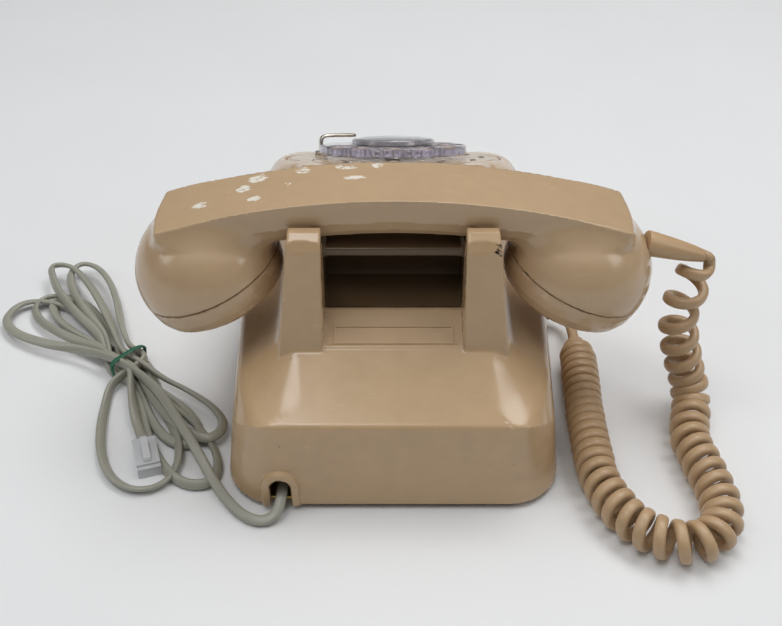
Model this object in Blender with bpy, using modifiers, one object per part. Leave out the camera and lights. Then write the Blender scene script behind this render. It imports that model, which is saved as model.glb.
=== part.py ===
"""Rotary desk telephone as separate parts: housing, dial, ringer, switch, handset and cords.

Frame: metres, +Z up, dial towards -Y, origin on the table under the middle of the set.
"""
import math

import bmesh
import bpy
from mathutils import Matrix, Vector

# ---------------------------------------------------------------- driving sizes
GAP = 0.0003                 # gap kept between neighbouring solids
RUN_GAP = 0.0004             # gap around a piece that turns or slides

BODY_DEPTH = 0.232
BODY_WIDTH = 0.170           # widest, at the foot of the dial end
REAR_NARROWING = 0.0105      # how much less the half width is at the rear wall
BODY_TOP = 0.104             # cradle floor under the handset
SKIRT_Z = 0.003              # lower edge of the housing
WALL = 0.0028
REAR_WALL_Z = 0.049          # top of the upright rear wall
REAR_DRAFT = 0.0033
DECK_Z = 0.064               # top of the rear slope, at the foot of the rear posts
POST_REAR_Y = 0.0796         # rear face of the rear posts at the deck
REAR_SLOPE = math.radians(27)

DIAL_TILT = math.radians(26)
DIAL_Y = -0.056
DIAL_Z = 0.0847
FACE_RADIUS = 0.056          # numbered face plate
FACE_THICK = 0.0014
WHEEL_RADIUS = 0.0387
WHEEL_THICK = 0.005
WHEEL_LIFT = 0.0018          # underside of the wheel above the face
HOLE_RADIUS = 0.0066
HOLE_CIRCLE = 0.0298
HOLE_COUNT = 10
HOLE_STEP = math.radians(30)
STOP_ANGLE = math.radians(-30)
CARD_RADIUS = 0.0205
SHAFT_RADIUS = 0.004
GEAR_RADIUS = 0.018          # pitch radius
GEAR_TEETH = 48
PINION_TEETH = 12

HANDSET_Y = 0.045
HANDSET_TOP = 0.1305
HANDLE_HALF_WIDTH = 0.0165
HANDLE_THICK = 0.0205
ARCH_RADIUS = 0.339
HANDLE_REACH = 0.104         # half length of the flat top band
END_THINS_FROM = 0.080       # the handle grows thinner from here to its ends
END_THICK = 0.005
CUP_X = 0.083
CUP_Z = 0.085
CUP_TILT = math.radians(22)
CUP_RADIUS = 0.0335
CUP_HEIGHT = 0.0345
CAP_DEPTH = 0.016
CAP_WALL = 0.003
UNIT_RADIUS = 0.0272

POST_INNER_X = 0.031
POST_OUTER_X = 0.051         # at the deck; the posts narrow upward
POST_TOP_Z = 0.1185
CRADLE_GAP = 0.0011          # between the handle and each post
PLUNGER_RADIUS = 0.003
PLUNGER_X = 0.0385

LIFT_TRAVEL = 0.12
PLUNGER_TRAVEL = 0.006

PLATE_THICK = 0.0012
PLATE_Z = 0.0034
PLATE_CLEAR = 0.0006         # between the base plate and the housing wall
SCREW_CLEAR = 0.0003         # around a screw in its hole
FOOT_RADIUS = 0.008
SCREW_RADIUS = 0.0015
BOSS_RADIUS = 0.0042
BOSS_LENGTH = 0.080          # runs up into the housing's skin

GONG_RADIUS = 0.024
GONG_SPACING = 0.055
GONG_Y = -0.072
GONG_Z = 0.034
COIL_LENGTH = 0.034

COIL_RADIUS = 0.0085         # outer radius of the curly cord
STRAND_RADIUS = 0.0024
FLAT_CORD_RADIUS = 0.0018    # round stand-in for the flat line cord
HANK_HEIGHT = 0.011
PLUG_WIDTH = 0.011
PLUG_LENGTH = 0.020
PLUG_HEIGHT = 0.0066

FRONT_Y = -BODY_DEPTH / 2
REAR_Y = BODY_DEPTH / 2
LIP_PROUD = 0.0012           # cord notch lip over the rear wall

# ---------------------------------------------------------------- scene and helpers
for old in list(bpy.data.objects):
    bpy.data.objects.remove(old, do_unlink=True)

parts = bpy.data.collections.new("rotary_telephone")
cutters = bpy.data.collections.new("cutters")
bpy.context.scene.collection.children.link(parts)
bpy.context.scene.collection.children.link(cutters)


def finish(name, colour, rough, metal=0.0):
    """A Principled material for one part."""
    material = bpy.data.materials.new(name)
    material.use_nodes = True
    shader = material.node_tree.nodes["Principled BSDF"]
    shader.inputs["Base Color"].default_value = (*colour, 1.0)
    shader.inputs["Roughness"].default_value = rough
    shader.inputs["Metallic"].default_value = metal
    return material


BEIGE = (0.45, 0.33, 0.21)
STEEL = (0.55, 0.55, 0.56)
BRASS = (0.70, 0.55, 0.25)
DARK = (0.04, 0.04, 0.045)
GREY = (0.28, 0.29, 0.25)
GREEN = (0.01, 0.12, 0.06)
SPRING_BRASS = (0.75, 0.62, 0.35)
CLEAR = (0.80, 0.78, 0.85)


def link(obj, colour=None, rough=0.4, metal=0.0, parent=None, smooth=False):
    """Put an object among the parts, or among the cutters if it has no colour."""
    if colour is None:
        cutters.objects.link(obj)
        obj.hide_render = True
        obj.display_type = "WIRE"
    else:
        parts.objects.link(obj)
        obj.data.materials.append(finish(obj.name + "_finish", colour, rough, metal))
    if parent is not None:
        obj.parent = parent
    if smooth and obj.type == "MESH":
        obj.data.shade_smooth()
        obj.data.set_sharp_from_angle(angle=math.radians(35))
    return obj


def mesh_object(name, bm):
    """A new object from a bmesh, with its faces turned outward."""
    bmesh.ops.recalc_face_normals(bm, faces=bm.faces)
    mesh = bpy.data.meshes.new(name)
    bm.to_mesh(mesh)
    bm.free()
    return bpy.data.objects.new(name, mesh)


def box(name, size, place):
    bm = bmesh.new()
    bmesh.ops.create_cube(bm, size=1.0)
    bmesh.ops.scale(bm, vec=Vector(size), verts=bm.verts)
    bmesh.ops.translate(bm, vec=Vector(place), verts=bm.verts)
    return mesh_object(name, bm)


def cylinder(name, radius, length, place, axis="Z", sides=24, top_radius=None):
    """A cylinder or cone centred on place, its top end along +axis."""
    bm = bmesh.new()
    top = radius if top_radius is None else top_radius
    bmesh.ops.create_cone(bm, cap_ends=True, segments=sides, radius1=radius, radius2=top, depth=length)
    turn = {"X": Matrix.Rotation(math.pi / 2, 3, "Y"), "Y": Matrix.Rotation(-math.pi / 2, 3, "X")}
    if axis in turn:
        bmesh.ops.rotate(bm, matrix=turn[axis], verts=bm.verts)
    bmesh.ops.translate(bm, vec=Vector(place), verts=bm.verts)
    return mesh_object(name, bm)


def turned(name, profile, sides=32):
    """A solid of revolution about Z from a profile of (radius, height) points."""
    mesh = bpy.data.meshes.new(name)
    points = [(radius, 0.0, height) for radius, height in profile]
    edges = [(i, i + 1) for i in range(len(points) - 1)]
    on_axis = profile[0][0] == 0.0 and profile[-1][0] == 0.0
    if not on_axis:
        edges.append((len(points) - 1, 0))
    mesh.from_pydata(points, edges, [])
    obj = bpy.data.objects.new(name, mesh)
    screw = obj.modifiers.new("turn", "SCREW")
    screw.steps = sides
    screw.render_steps = sides
    screw.use_merge_vertices = True
    screw.merge_threshold = 0.00005
    return bake(obj)


def bake(obj):
    """Replace an object that has modifiers or a curve by its plain mesh."""
    bpy.context.scene.collection.objects.link(obj)
    depsgraph = bpy.context.evaluated_depsgraph_get()
    mesh = bpy.data.meshes.new_from_object(obj.evaluated_get(depsgraph))
    place = obj.matrix_world.copy()
    name = obj.name
    bpy.data.objects.remove(obj, do_unlink=True)
    bm = bmesh.new()
    bm.from_mesh(mesh)
    bmesh.ops.remove_doubles(bm, verts=bm.verts, dist=0.00002)
    bmesh.ops.recalc_face_normals(bm, faces=bm.faces)
    bm.to_mesh(mesh)
    bm.free()
    new = bpy.data.objects.new(name, mesh)
    new.matrix_world = place
    return new


def prism(name, outline, low, high, plane="XY"):
    """An outline in a plane, extruded between two heights along the plane's normal."""
    bm = bmesh.new()
    to_space = {
        "XY": lambda a, b, h: (a, b, h),
        "YZ": lambda a, b, h: (h, a, b),
        "XZ": lambda a, b, h: (a, h, b),
    }[plane]
    face = bm.faces.new([bm.verts.new(to_space(a, b, low)) for a, b in outline])
    moved = bmesh.ops.extrude_face_region(bm, geom=[face])["geom"]
    shift = Vector(to_space(0.0, 0.0, high - low))
    bmesh.ops.translate(bm, vec=shift, verts=[v for v in moved if isinstance(v, bmesh.types.BMVert)])
    return mesh_object(name, bm)


def loft(name, rings):
    """A closed skin through rings that all have the same number of points."""
    bm = bmesh.new()
    loops = [[bm.verts.new(point) for point in ring] for ring in rings]
    count = len(loops[0])
    for low, high in zip(loops, loops[1:]):
        for i in range(count):
            j = (i + 1) % count
            bm.faces.new((low[i], low[j], high[j], high[i]))
    bm.faces.new(reversed(loops[0]))
    bm.faces.new(loops[-1])
    return mesh_object(name, bm)


def boolean(obj, tool, operation="DIFFERENCE"):
    if tool.name not in cutters.objects:
        link(tool)
    cut = obj.modifiers.new(operation.lower() + "_" + tool.name, "BOOLEAN")
    cut.operation = operation
    cut.object = tool
    return obj


def tube(name, points, radius, resolution=2):
    """A round bar along points, as a poly spline with filled ends."""
    data = bpy.data.curves.new(name, "CURVE")
    data.dimensions = "3D"
    data.bevel_depth = radius
    data.bevel_resolution = resolution
    data.use_fill_caps = True
    spline = data.splines.new("POLY")
    spline.points.add(len(points) - 1)
    for knot, point in zip(spline.points, points):
        knot.co = (*point, 1.0)
    return bpy.data.objects.new(name, data)


def smooth_route(route, spacing):
    """Points about a spacing apart on one smooth curve through a route's own points."""
    dense = []
    for i in range(len(route) - 1):
        before = Vector(route[max(i - 1, 0)])
        start, stop = Vector(route[i]), Vector(route[i + 1])
        after = Vector(route[min(i + 2, len(route) - 1)])
        for k in range(16):
            t = k / 16
            a = -0.5 * t ** 3 + t ** 2 - 0.5 * t
            b = 1.5 * t ** 3 - 2.5 * t ** 2 + 1
            c = -1.5 * t ** 3 + 2 * t ** 2 + 0.5 * t
            e = 0.5 * t ** 3 - 0.5 * t ** 2
            dense.append(before * a + start * b + stop * c + after * e)
    dense.append(Vector(route[-1]))
    total = sum((b - a).length for a, b in zip(dense, dense[1:]))
    count = max(2, round(total / spacing))
    step = total / count
    picked, run = [dense[0]], 0.0
    for a, b in zip(dense, dense[1:]):
        run += (b - a).length
        if run >= step * len(picked) - 1e-9 and len(picked) < count:
            picked.append(b)
    picked.append(dense[-1])
    return picked


def arc(centre, radius, start, stop, count):
    """Points on a circular arc, angles in radians."""
    turns = [start + (stop - start) * i / (count - 1) for i in range(count)]
    return [(centre[0] + radius * math.cos(a), centre[1] + radius * math.sin(a)) for a in turns]


def grow(outline, distance):
    """An outline moved outward by a distance, corner by corner."""
    area = sum(a[0] * b[1] - b[0] * a[1] for a, b in zip(outline, outline[1:] + outline[:1]))
    side = 1.0 if area > 0 else -1.0
    grown = []
    for i, point in enumerate(outline):
        before = Vector(outline[i - 1])
        here = Vector(point)
        after = Vector(outline[(i + 1) % len(outline)])
        ahead = (after - here).normalized()
        back = (here - before).normalized()
        normal_in = Vector((back.y, -back.x)) * side
        normal_out = Vector((ahead.y, -ahead.x)) * side
        middle = (normal_in + normal_out).normalized()
        grown.append(tuple(here + middle * distance / max(0.5, middle.dot(normal_in))))
    return grown


def blend(value, table):
    """A value read from a table of (place, value) rows, straight between rows."""
    if value <= table[0][0]:
        return table[0][1]
    for (a, low), (b, high) in zip(table, table[1:]):
        if value <= b:
            return low + (high - low) * (value - a) / (b - a)
    return table[-1][1]


def soft_max(a, b, width):
    return 0.5 * (a + b + math.sqrt((a - b) ** 2 + width ** 2))


def soft_min(a, b, width):
    return -soft_max(-a, -b, width)


# ---------------------------------------------------------------- body shape
# share of the way from the foot width to the top width, by height
SIDE_DIAL_END = [(0.003, 0), (0.030, 0.13), (0.049, 0.27), (0.060, 0.40), (0.074, 0.576),
                 (0.0847, 0.68), (0.094, 0.82), (0.104, 1.0)]
SIDE_CRADLE_END = [(0.003, 0), (0.034, 0.12), (0.049, 0.21), (0.052, 0.36), (0.058, 0.62),
                   (0.064, 0.81), (0.072, 0.88), (0.084, 0.94), (0.104, 1.0)]
TOP_HALF_DIAL = 0.052
TOP_HALF_CRADLE = 0.0455
FRONT_CORNER = [(0.044, 0.028), (0.052, 0.026), (0.060, 0.020), (0.066, 0.014), (0.074, 0.007),
                (0.0847, 0.004), (0.104, 0.006)]
REAR_CORNER = [(0.030, 0.022), (0.044, 0.020), (0.049, 0.018), (0.056, 0.012), (0.064, 0.008),
               (0.104, 0.006)]
SECTION_HEIGHTS = (0.003, 0.012, 0.030, 0.044, 0.0475, 0.0505, 0.054, 0.058, 0.0625, 0.066,
                   0.074, 0.084, 0.094, 0.104)
CORNER_POINTS = 5
SIDE_POINTS = 5


def half_width(y, z, inset=0.0):
    run = min(max((y + 0.06) / 0.176, 0.0), 1.0)
    foot = BODY_WIDTH / 2 - REAR_NARROWING * run ** 1.4
    share = min(max((y + 0.03) / 0.045, 0.0), 1.0)
    share = share * share * (3 - 2 * share)
    height = z + inset
    dial_end = foot + (TOP_HALF_DIAL - foot) * blend(height, SIDE_DIAL_END)
    cradle_end = foot + (TOP_HALF_CRADLE - foot) * blend(height, SIDE_CRADLE_END)
    return dial_end * (1 - share) + cradle_end * share - inset


def front_edge(z, inset=0.0):
    nose = FRONT_Y + 0.002 * z / 0.044 + inset
    slope = DIAL_Y + (z - DIAL_Z) / math.tan(DIAL_TILT) + inset / math.sin(DIAL_TILT)
    return soft_max(nose, slope, 0.006)


def rear_edge(z, inset=0.0):
    wall = REAR_Y - LIP_PROUD - REAR_DRAFT * z / REAR_WALL_Z - inset
    slope = POST_REAR_Y + (DECK_Z - z) / math.tan(REAR_SLOPE) - inset / math.sin(REAR_SLOPE)
    upper = POST_REAR_Y - 0.0016 - (z - DECK_Z) * 0.175 - inset
    return soft_min(wall, soft_max(slope, upper, 0.001), 0.003)


def section(z, inset=0.0):
    """The body's outline at one height, as points around it."""
    front, rear = front_edge(z, inset), rear_edge(z, inset)
    front_corner = max(blend(z, FRONT_CORNER) - inset, 0.001)
    rear_corner = max(blend(z, REAR_CORNER) - inset, 0.001)
    quarter = [math.pi / 2 * i / (CORNER_POINTS - 1) for i in range(CORNER_POINTS)]
    half = []
    for a in quarter:
        y = front + front_corner * (1 - math.cos(a))
        half.append((half_width(y, z, inset) - front_corner * (1 - math.sin(a)), y))
    start, stop = front + front_corner, rear - rear_corner
    for i in range(1, SIDE_POINTS + 1):
        y = start + (stop - start) * i / (SIDE_POINTS + 1)
        half.append((half_width(y, z, inset), y))
    for a in reversed(quarter):
        y = rear - rear_corner * (1 - math.cos(a))
        half.append((half_width(y, z, inset) - rear_corner * (1 - math.sin(a)), y))
    mirrored = [(-x, y) for x, y in reversed(half)]
    return [(x, y, z) for x, y in half + mirrored]


# ---------------------------------------------------------------- frames for the moving groups
dial_frame_empty = bpy.data.objects.new("dial_axis", None)
dial_frame_empty.location = (0.0, DIAL_Y, DIAL_Z)
dial_frame_empty.rotation_euler = (DIAL_TILT, 0.0, 0.0)
parts.objects.link(dial_frame_empty)


def cup_empty(name, side):
    empty = bpy.data.objects.new(name, None)
    empty.location = (side * CUP_X, HANDSET_Y, CUP_Z)
    empty.rotation_euler = (0.0, side * CUP_TILT, 0.0)
    parts.objects.link(empty)
    return empty


receiver_axis = cup_empty("receiver_axis", 1)
transmitter_axis = cup_empty("transmitter_axis", -1)


def placed(obj, empty):
    """Move a cutter into an empty's frame."""
    turn = empty.rotation_euler.to_matrix().to_4x4()
    obj.matrix_world = Matrix.Translation(empty.location) @ turn @ obj.matrix_world
    return obj


# ---------------------------------------------------------------- housing
HANDLE_REAR_Y = HANDSET_Y + HANDLE_HALF_WIDTH
HANDLE_FRONT_Y = HANDSET_Y - HANDLE_HALF_WIDTH
SADDLE_Z = (HANDSET_TOP - PLUNGER_X ** 2 / (2 * ARCH_RADIUS)) - HANDLE_THICK - 0.0012
NOTCH_X = 0.0505
NOTCH_RADIUS = 0.0048
NOTCH_SPRING_Z = 0.0145      # where the notch's arch begins
BUSHING_Y = -0.020
BUSHING_Z = 0.0095
BUSHING_RADIUS = 0.0045
RIDGE_Z = 0.111
SEAT_CLEAR = 0.0004
FACE_SEAT_DEPTH = 0.0019
DIAL_OPENING_RADIUS = 0.053
BOSSES = ((0.0, FRONT_Y + 0.016), (-0.020, REAR_Y - 0.017))
POCKET = [(0.092, 0.0662), (0.0768, 0.0656), (0.0595, 0.0738), (0.0593, 0.0730), (0.0400, 0.0775),
          (0.0335, 0.0840), (0.0335, 0.0930), (0.0385, 0.0975), (0.0575, 0.0995), (0.0578, 0.1026),
          (0.0566, 0.1200), (0.092, 0.1200)]


def cradle_cheek(side):
    """One side of the cradle: rear post, saddle and front post in one piece."""
    wall_rear = HANDLE_REAR_Y + CRADLE_GAP
    wall_front = HANDLE_FRONT_Y - CRADLE_GAP
    outline = [
        (POST_REAR_Y + 0.0010, DECK_Z - 0.0060),
        (POST_REAR_Y, DECK_Z),
        (POST_REAR_Y - 0.0071, POST_TOP_Z - 0.0065),
        (POST_REAR_Y - 0.0090, POST_TOP_Z - 0.0028),
        (POST_REAR_Y - 0.0125, POST_TOP_Z - 0.0002),
        (wall_rear + 0.0006, POST_TOP_Z),
        (wall_rear, POST_TOP_Z - 0.0010),
        (wall_rear, SADDLE_Z),
        (wall_front, SADDLE_Z),
        (wall_front, POST_TOP_Z - 0.0010),
        (wall_front - 0.0006, POST_TOP_Z),
        (wall_front - 0.0045, POST_TOP_Z - 0.0004),
        (wall_front - 0.0090, POST_TOP_Z - 0.0035),
        (wall_front - 0.0155, RIDGE_Z - 0.0020),
        (wall_front - 0.0180, BODY_TOP - 0.0100),
        (wall_front - 0.0180, DECK_Z + 0.0040),
        (POST_REAR_Y - 0.0100, DECK_Z - 0.0080),
    ]
    cheek = prism(f"cradle_cheek_{side}", outline, 0.0, 1.0, "YZ")
    for vertex in cheek.data.vertices:
        rise = (vertex.co.z - DECK_Z) / (POST_TOP_Z - DECK_Z)
        inner = POST_INNER_X - 0.0010 * rise
        outer = POST_OUTER_X - 0.0060 * rise
        vertex.co.x = side * (outer if vertex.co.x > 0.5 else inner)
    bm = bmesh.new()
    bm.from_mesh(cheek.data)
    bmesh.ops.recalc_face_normals(bm, faces=bm.faces)
    bm.to_mesh(cheek.data)
    bm.free()
    return cheek


def make_housing():
    housing = loft("housing", [section(z) for z in SECTION_HEIGHTS])
    void_heights = [SKIRT_Z - 0.004] + [z for z in SECTION_HEIGHTS[1:-1]] + [BODY_TOP - WALL]
    void = loft("body_void", [section(z, WALL) for z in void_heights])
    pocket = prism("carry_pocket", POCKET, -POST_INNER_X, POST_INNER_X, "YZ")
    jacket_outline = grow(POCKET, WALL)
    jacket = prism("pocket_jacket", jacket_outline, -POST_INNER_X - WALL, POST_INNER_X + WALL, "YZ")
    boolean(void, jacket)
    for i, (x, y) in enumerate(BOSSES):
        low = PLATE_Z + PLATE_THICK + GAP
        boss = cylinder(f"boss_{i}", BOSS_RADIUS, BOSS_LENGTH, (x, y, low + BOSS_LENGTH / 2), sides=16)
        boolean(void, boss)
    link(void)
    ridge_front = DIAL_Y + (BODY_TOP - 0.006 - DIAL_Z) / math.tan(DIAL_TILT)
    ridge_top = DIAL_Y + (RIDGE_Z - 0.0005 - DIAL_Z) / math.tan(DIAL_TILT)
    trough = HANDLE_FRONT_Y - CRADLE_GAP
    ridge_outline = [(ridge_front, BODY_TOP - 0.006), (ridge_top, RIDGE_Z - 0.0005), (ridge_top + 0.002, RIDGE_Z),
                     (trough - 0.014, RIDGE_Z), (trough - 0.008, RIDGE_Z - 0.0012),
                     (trough - 0.002, BODY_TOP + 0.001), (trough + 0.004, BODY_TOP - 0.002),
                     (trough + 0.004, BODY_TOP - 0.006)]
    ridge_half = TOP_HALF_CRADLE + 0.0015
    ridge = prism("cradle_ridge", ridge_outline, -ridge_half, ridge_half, "YZ")
    for vertex in ridge.data.vertices:
        vertex.co.x *= 1.0 - 0.06 * max(0.0, vertex.co.z - BODY_TOP) / (RIDGE_Z - BODY_TOP)
    lip_outline = [(NOTCH_X + 0.0085, SKIRT_Z)]
    lip_outline += arc((NOTCH_X, NOTCH_SPRING_Z), 0.0085, 0.0, math.pi, 11)
    lip_outline += [(NOTCH_X - 0.0085, SKIRT_Z)]
    lip = prism("notch_lip", lip_outline, REAR_Y - 0.006, REAR_Y, "XZ")
    for tool in (cradle_cheek(1), cradle_cheek(-1), ridge, lip):
        boolean(housing, tool, "UNION")
    boolean(housing, void)
    boolean(housing, pocket)
    seat = placed(cylinder("dial_seat", FACE_RADIUS + SEAT_CLEAR, 0.012, (0, 0, 0.006 - FACE_SEAT_DEPTH), sides=48),
                  dial_frame_empty)
    opening = placed(cylinder("dial_opening", DIAL_OPENING_RADIUS, 0.030, (0, 0, -0.010), sides=48),
                     dial_frame_empty)
    boolean(housing, seat)
    boolean(housing, opening)
    for side in (1, -1):
        well = cylinder(f"plunger_well_{side}", PLUNGER_RADIUS + RUN_GAP, 0.020,
                        (side * PLUNGER_X, HANDSET_Y, BODY_TOP), sides=16)
        boolean(housing, well)
    notch_outline = [(NOTCH_X + NOTCH_RADIUS, -0.002)]
    notch_outline += arc((NOTCH_X, NOTCH_SPRING_Z), NOTCH_RADIUS, 0.0, math.pi, 9)
    notch_outline += [(NOTCH_X - NOTCH_RADIUS, -0.002)]
    boolean(housing, prism("cord_notch", notch_outline, REAR_Y - 0.020, REAR_Y + 0.005, "XZ"))
    side_x = half_width(BUSHING_Y, BUSHING_Z)
    boolean(housing, cylinder("bushing_hole", BUSHING_RADIUS + GAP, 0.016, (-side_x, BUSHING_Y, BUSHING_Z),
                              axis="X", sides=20))
    for i, (x, y) in enumerate(BOSSES):
        boolean(housing, cylinder(f"screw_hole_{i}", SCREW_RADIUS + 0.0002, 0.020, (x, y, 0.012), sides=12))
    return link(housing, BEIGE, 0.3, smooth=True)


make_housing()


# ---------------------------------------------------------------- base
FEET = ((-0.062, -0.082), (0.062, -0.082), (-0.056, 0.086), (0.030, 0.094))
VOLUME_X = 0.058
VOLUME_Y = -0.048
VOLUME_RADIUS = 0.0085
VOLUME_THICK = 0.004


def make_base():
    plate = loft("base_plate", [section(z, WALL + PLATE_CLEAR) for z in (PLATE_Z, PLATE_Z + PLATE_THICK)])
    for i, (x, y) in enumerate(BOSSES):
        boolean(plate, cylinder(f"plate_hole_{i}", SCREW_RADIUS + SCREW_CLEAR, 0.02, (x, y, PLATE_Z), sides=12))
    boolean(plate, box("volume_slot", (VOLUME_THICK + 0.002, 0.020, 0.02), (VOLUME_X, VOLUME_Y, PLATE_Z)))
    link(plate, BRASS, 0.35, 1.0)
    foot_height = PLATE_Z - GAP
    for name, (x, y) in zip(("foot_front_left", "foot_front_right", "foot_rear_left", "foot_rear_right"), FEET):
        foot = cylinder(name, FOOT_RADIUS * 0.9, foot_height, (0, 0, foot_height / 2), top_radius=FOOT_RADIUS)
        foot.location = (x, y, 0.0)
        link(foot, DARK, 0.8, smooth=True)
    for name, (x, y) in zip(("housing_screw_front", "housing_screw_rear"), BOSSES):
        head_low = 0.0010
        head_high = PLATE_Z - GAP
        profile = [(0.0, 0.0165), (SCREW_RADIUS, 0.0160), (SCREW_RADIUS, head_high), (0.0034, head_high),
                   (0.0034, head_low + 0.0006), (0.0026, head_low), (0.0, head_low)]
        screw = turned(name, profile, 16)
        screw.location = (x, y, 0.0)
        link(screw, STEEL, 0.3, 1.0)


make_base()
INSIDE_Z = PLATE_Z + PLATE_THICK + GAP      # what stands on the base plate starts here


# ---------------------------------------------------------------- ringer and network
RINGER_DECK = 0.0016         # thickness of the ringer's frame
CLAPPER_PIVOT_Y = GONG_Y + 0.040
CLAPPER_PIVOT_TOP = 0.0225
CLAPPER_Z = 0.0250


def make_ringer():
    post_top = GONG_Z + 0.0032
    frame = box("ringer_frame", (GONG_SPACING + 0.016, 0.050, RINGER_DECK),
                (0, GONG_Y + 0.021, INSIDE_Z + RINGER_DECK / 2))
    for side in (1, -1):
        height = GONG_Z - INSIDE_Z - 0.0021
        post = cylinder(f"gong_post_{side}", 0.003, height,
                        (side * GONG_SPACING / 2, GONG_Y, INSIDE_Z + height / 2), sides=12)
        boolean(frame, post, "UNION")
    pivot_height = CLAPPER_PIVOT_TOP - INSIDE_Z
    pivot = box("pivot_post", (0.006, 0.004, pivot_height), (0, CLAPPER_PIVOT_Y, INSIDE_Z + pivot_height / 2))
    boolean(frame, pivot, "UNION")
    link(frame, STEEL, 0.4, 1.0)
    bell = [(0.0021, GONG_Z), (0.0021, GONG_Z - 0.0018), (GONG_RADIUS * 0.72, GONG_Z - 0.0030),
            (GONG_RADIUS * 0.92, GONG_Z - 0.0062), (GONG_RADIUS - 0.0014, GONG_Z - 0.0125),
            (GONG_RADIUS, GONG_Z - 0.0125), (GONG_RADIUS * 0.97, GONG_Z - 0.0050),
            (GONG_RADIUS * 0.76, GONG_Z - 0.0008)]
    for name, side in (("gong_left", -1), ("gong_right", 1)):
        gong = turned(name, list(reversed(bell)), 32)
        gong.location = (side * GONG_SPACING / 2, GONG_Y, 0.0)
        link(gong, BRASS, 0.25, 1.0)
        screw_name = name.replace("gong", "gong_screw")
        head = GONG_Z + GAP
        screw = turned(screw_name, [(0.0, post_top), (0.0030, post_top - 0.0006), (0.0035, head), (0.0017, head),
                                    (0.0017, GONG_Z - 0.0017), (0.0, GONG_Z - 0.0017)], 12)
        screw.location = (side * GONG_SPACING / 2, GONG_Y, 0.0)
        link(screw, STEEL, 0.3, 1.0)
    wound, flange, half = 0.0105, 0.0120, COIL_LENGTH / 2
    coil = turned("ringer_coil", [(0.0, -half), (flange, -half), (flange, -half + 0.0020), (wound, -half + 0.0020),
                                  (wound, half - 0.0020), (flange, half - 0.0020), (flange, half), (0.0, half)], 24)
    coil.rotation_euler = (0.0, math.pi / 2, 0.0)
    coil.location = (0.0, GONG_Y + 0.060, INSIDE_Z + flange)
    link(coil, (0.35, 0.12, 0.05), 0.5, smooth=True)
    clapper = tube("clapper_arm", [(0, 0, 0), (0, -0.012, 0.0), (0, -0.030, 0.0)], 0.0007)
    clapper = bake(clapper)
    clapper.name = "clapper"
    ball = cylinder("clapper_ball", 0.0021, 0.005, (0, -0.0390 + 0.0072, 0), axis="Z", sides=12)
    hub = cylinder("clapper_hub", 0.0026, 0.003, (0, 0, -0.0005), sides=12)
    boolean(clapper, ball, "UNION")
    boolean(clapper, hub, "UNION")
    for tool in (ball, hub):
        tool.parent = clapper
    clapper.location = (0, CLAPPER_PIVOT_Y, CLAPPER_Z)
    link(clapper, STEEL, 0.3, 1.0)
    wheel = cylinder("volume_wheel", VOLUME_RADIUS, VOLUME_THICK, (0, 0, 0), axis="X", sides=20)
    wheel.location = (VOLUME_X, VOLUME_Y, VOLUME_RADIUS + 0.0015)
    link(wheel, DARK, 0.5, smooth=True)


make_ringer()


NETWORK_SIZE = (0.050, 0.034, 0.030)
NETWORK_PLACE = (0.033, 0.080)
TERMINAL_PITCH = (0.011, 0.016)


def make_network():
    size, place = NETWORK_SIZE, NETWORK_PLACE
    case = box("network_box", size, (*place, INSIDE_Z + size[2] / 2))
    link(case, (0.30, 0.31, 0.30), 0.45, 0.4)
    strip = box("terminal_strip", (size[0] - 0.004, size[1] - 0.006, 0.003),
                (place[0], place[1], INSIDE_Z + size[2] + GAP + 0.0015))
    for i in range(4):
        for j in range(2):
            stud = cylinder(f"terminal_{i}_{j}", 0.0026, 0.003,
                            (place[0] + (i - 1.5) * TERMINAL_PITCH[0], place[1] + (j - 0.5) * TERMINAL_PITCH[1],
                             INSIDE_Z + size[2] + GAP + 0.0040), sides=10)
            boolean(strip, stud, "UNION")
    link(strip, (0.12, 0.07, 0.03), 0.5)


make_network()


# ---------------------------------------------------------------- hook switch
LEVER_PIVOT = (-0.036, 0.088, 0.0500)
LEVER_BAR_Z = 0.0560
LEVER_BAR_RADIUS = 0.0016
PLUNGER_LOW = LEVER_BAR_Z + LEVER_BAR_RADIUS + RUN_GAP


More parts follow.
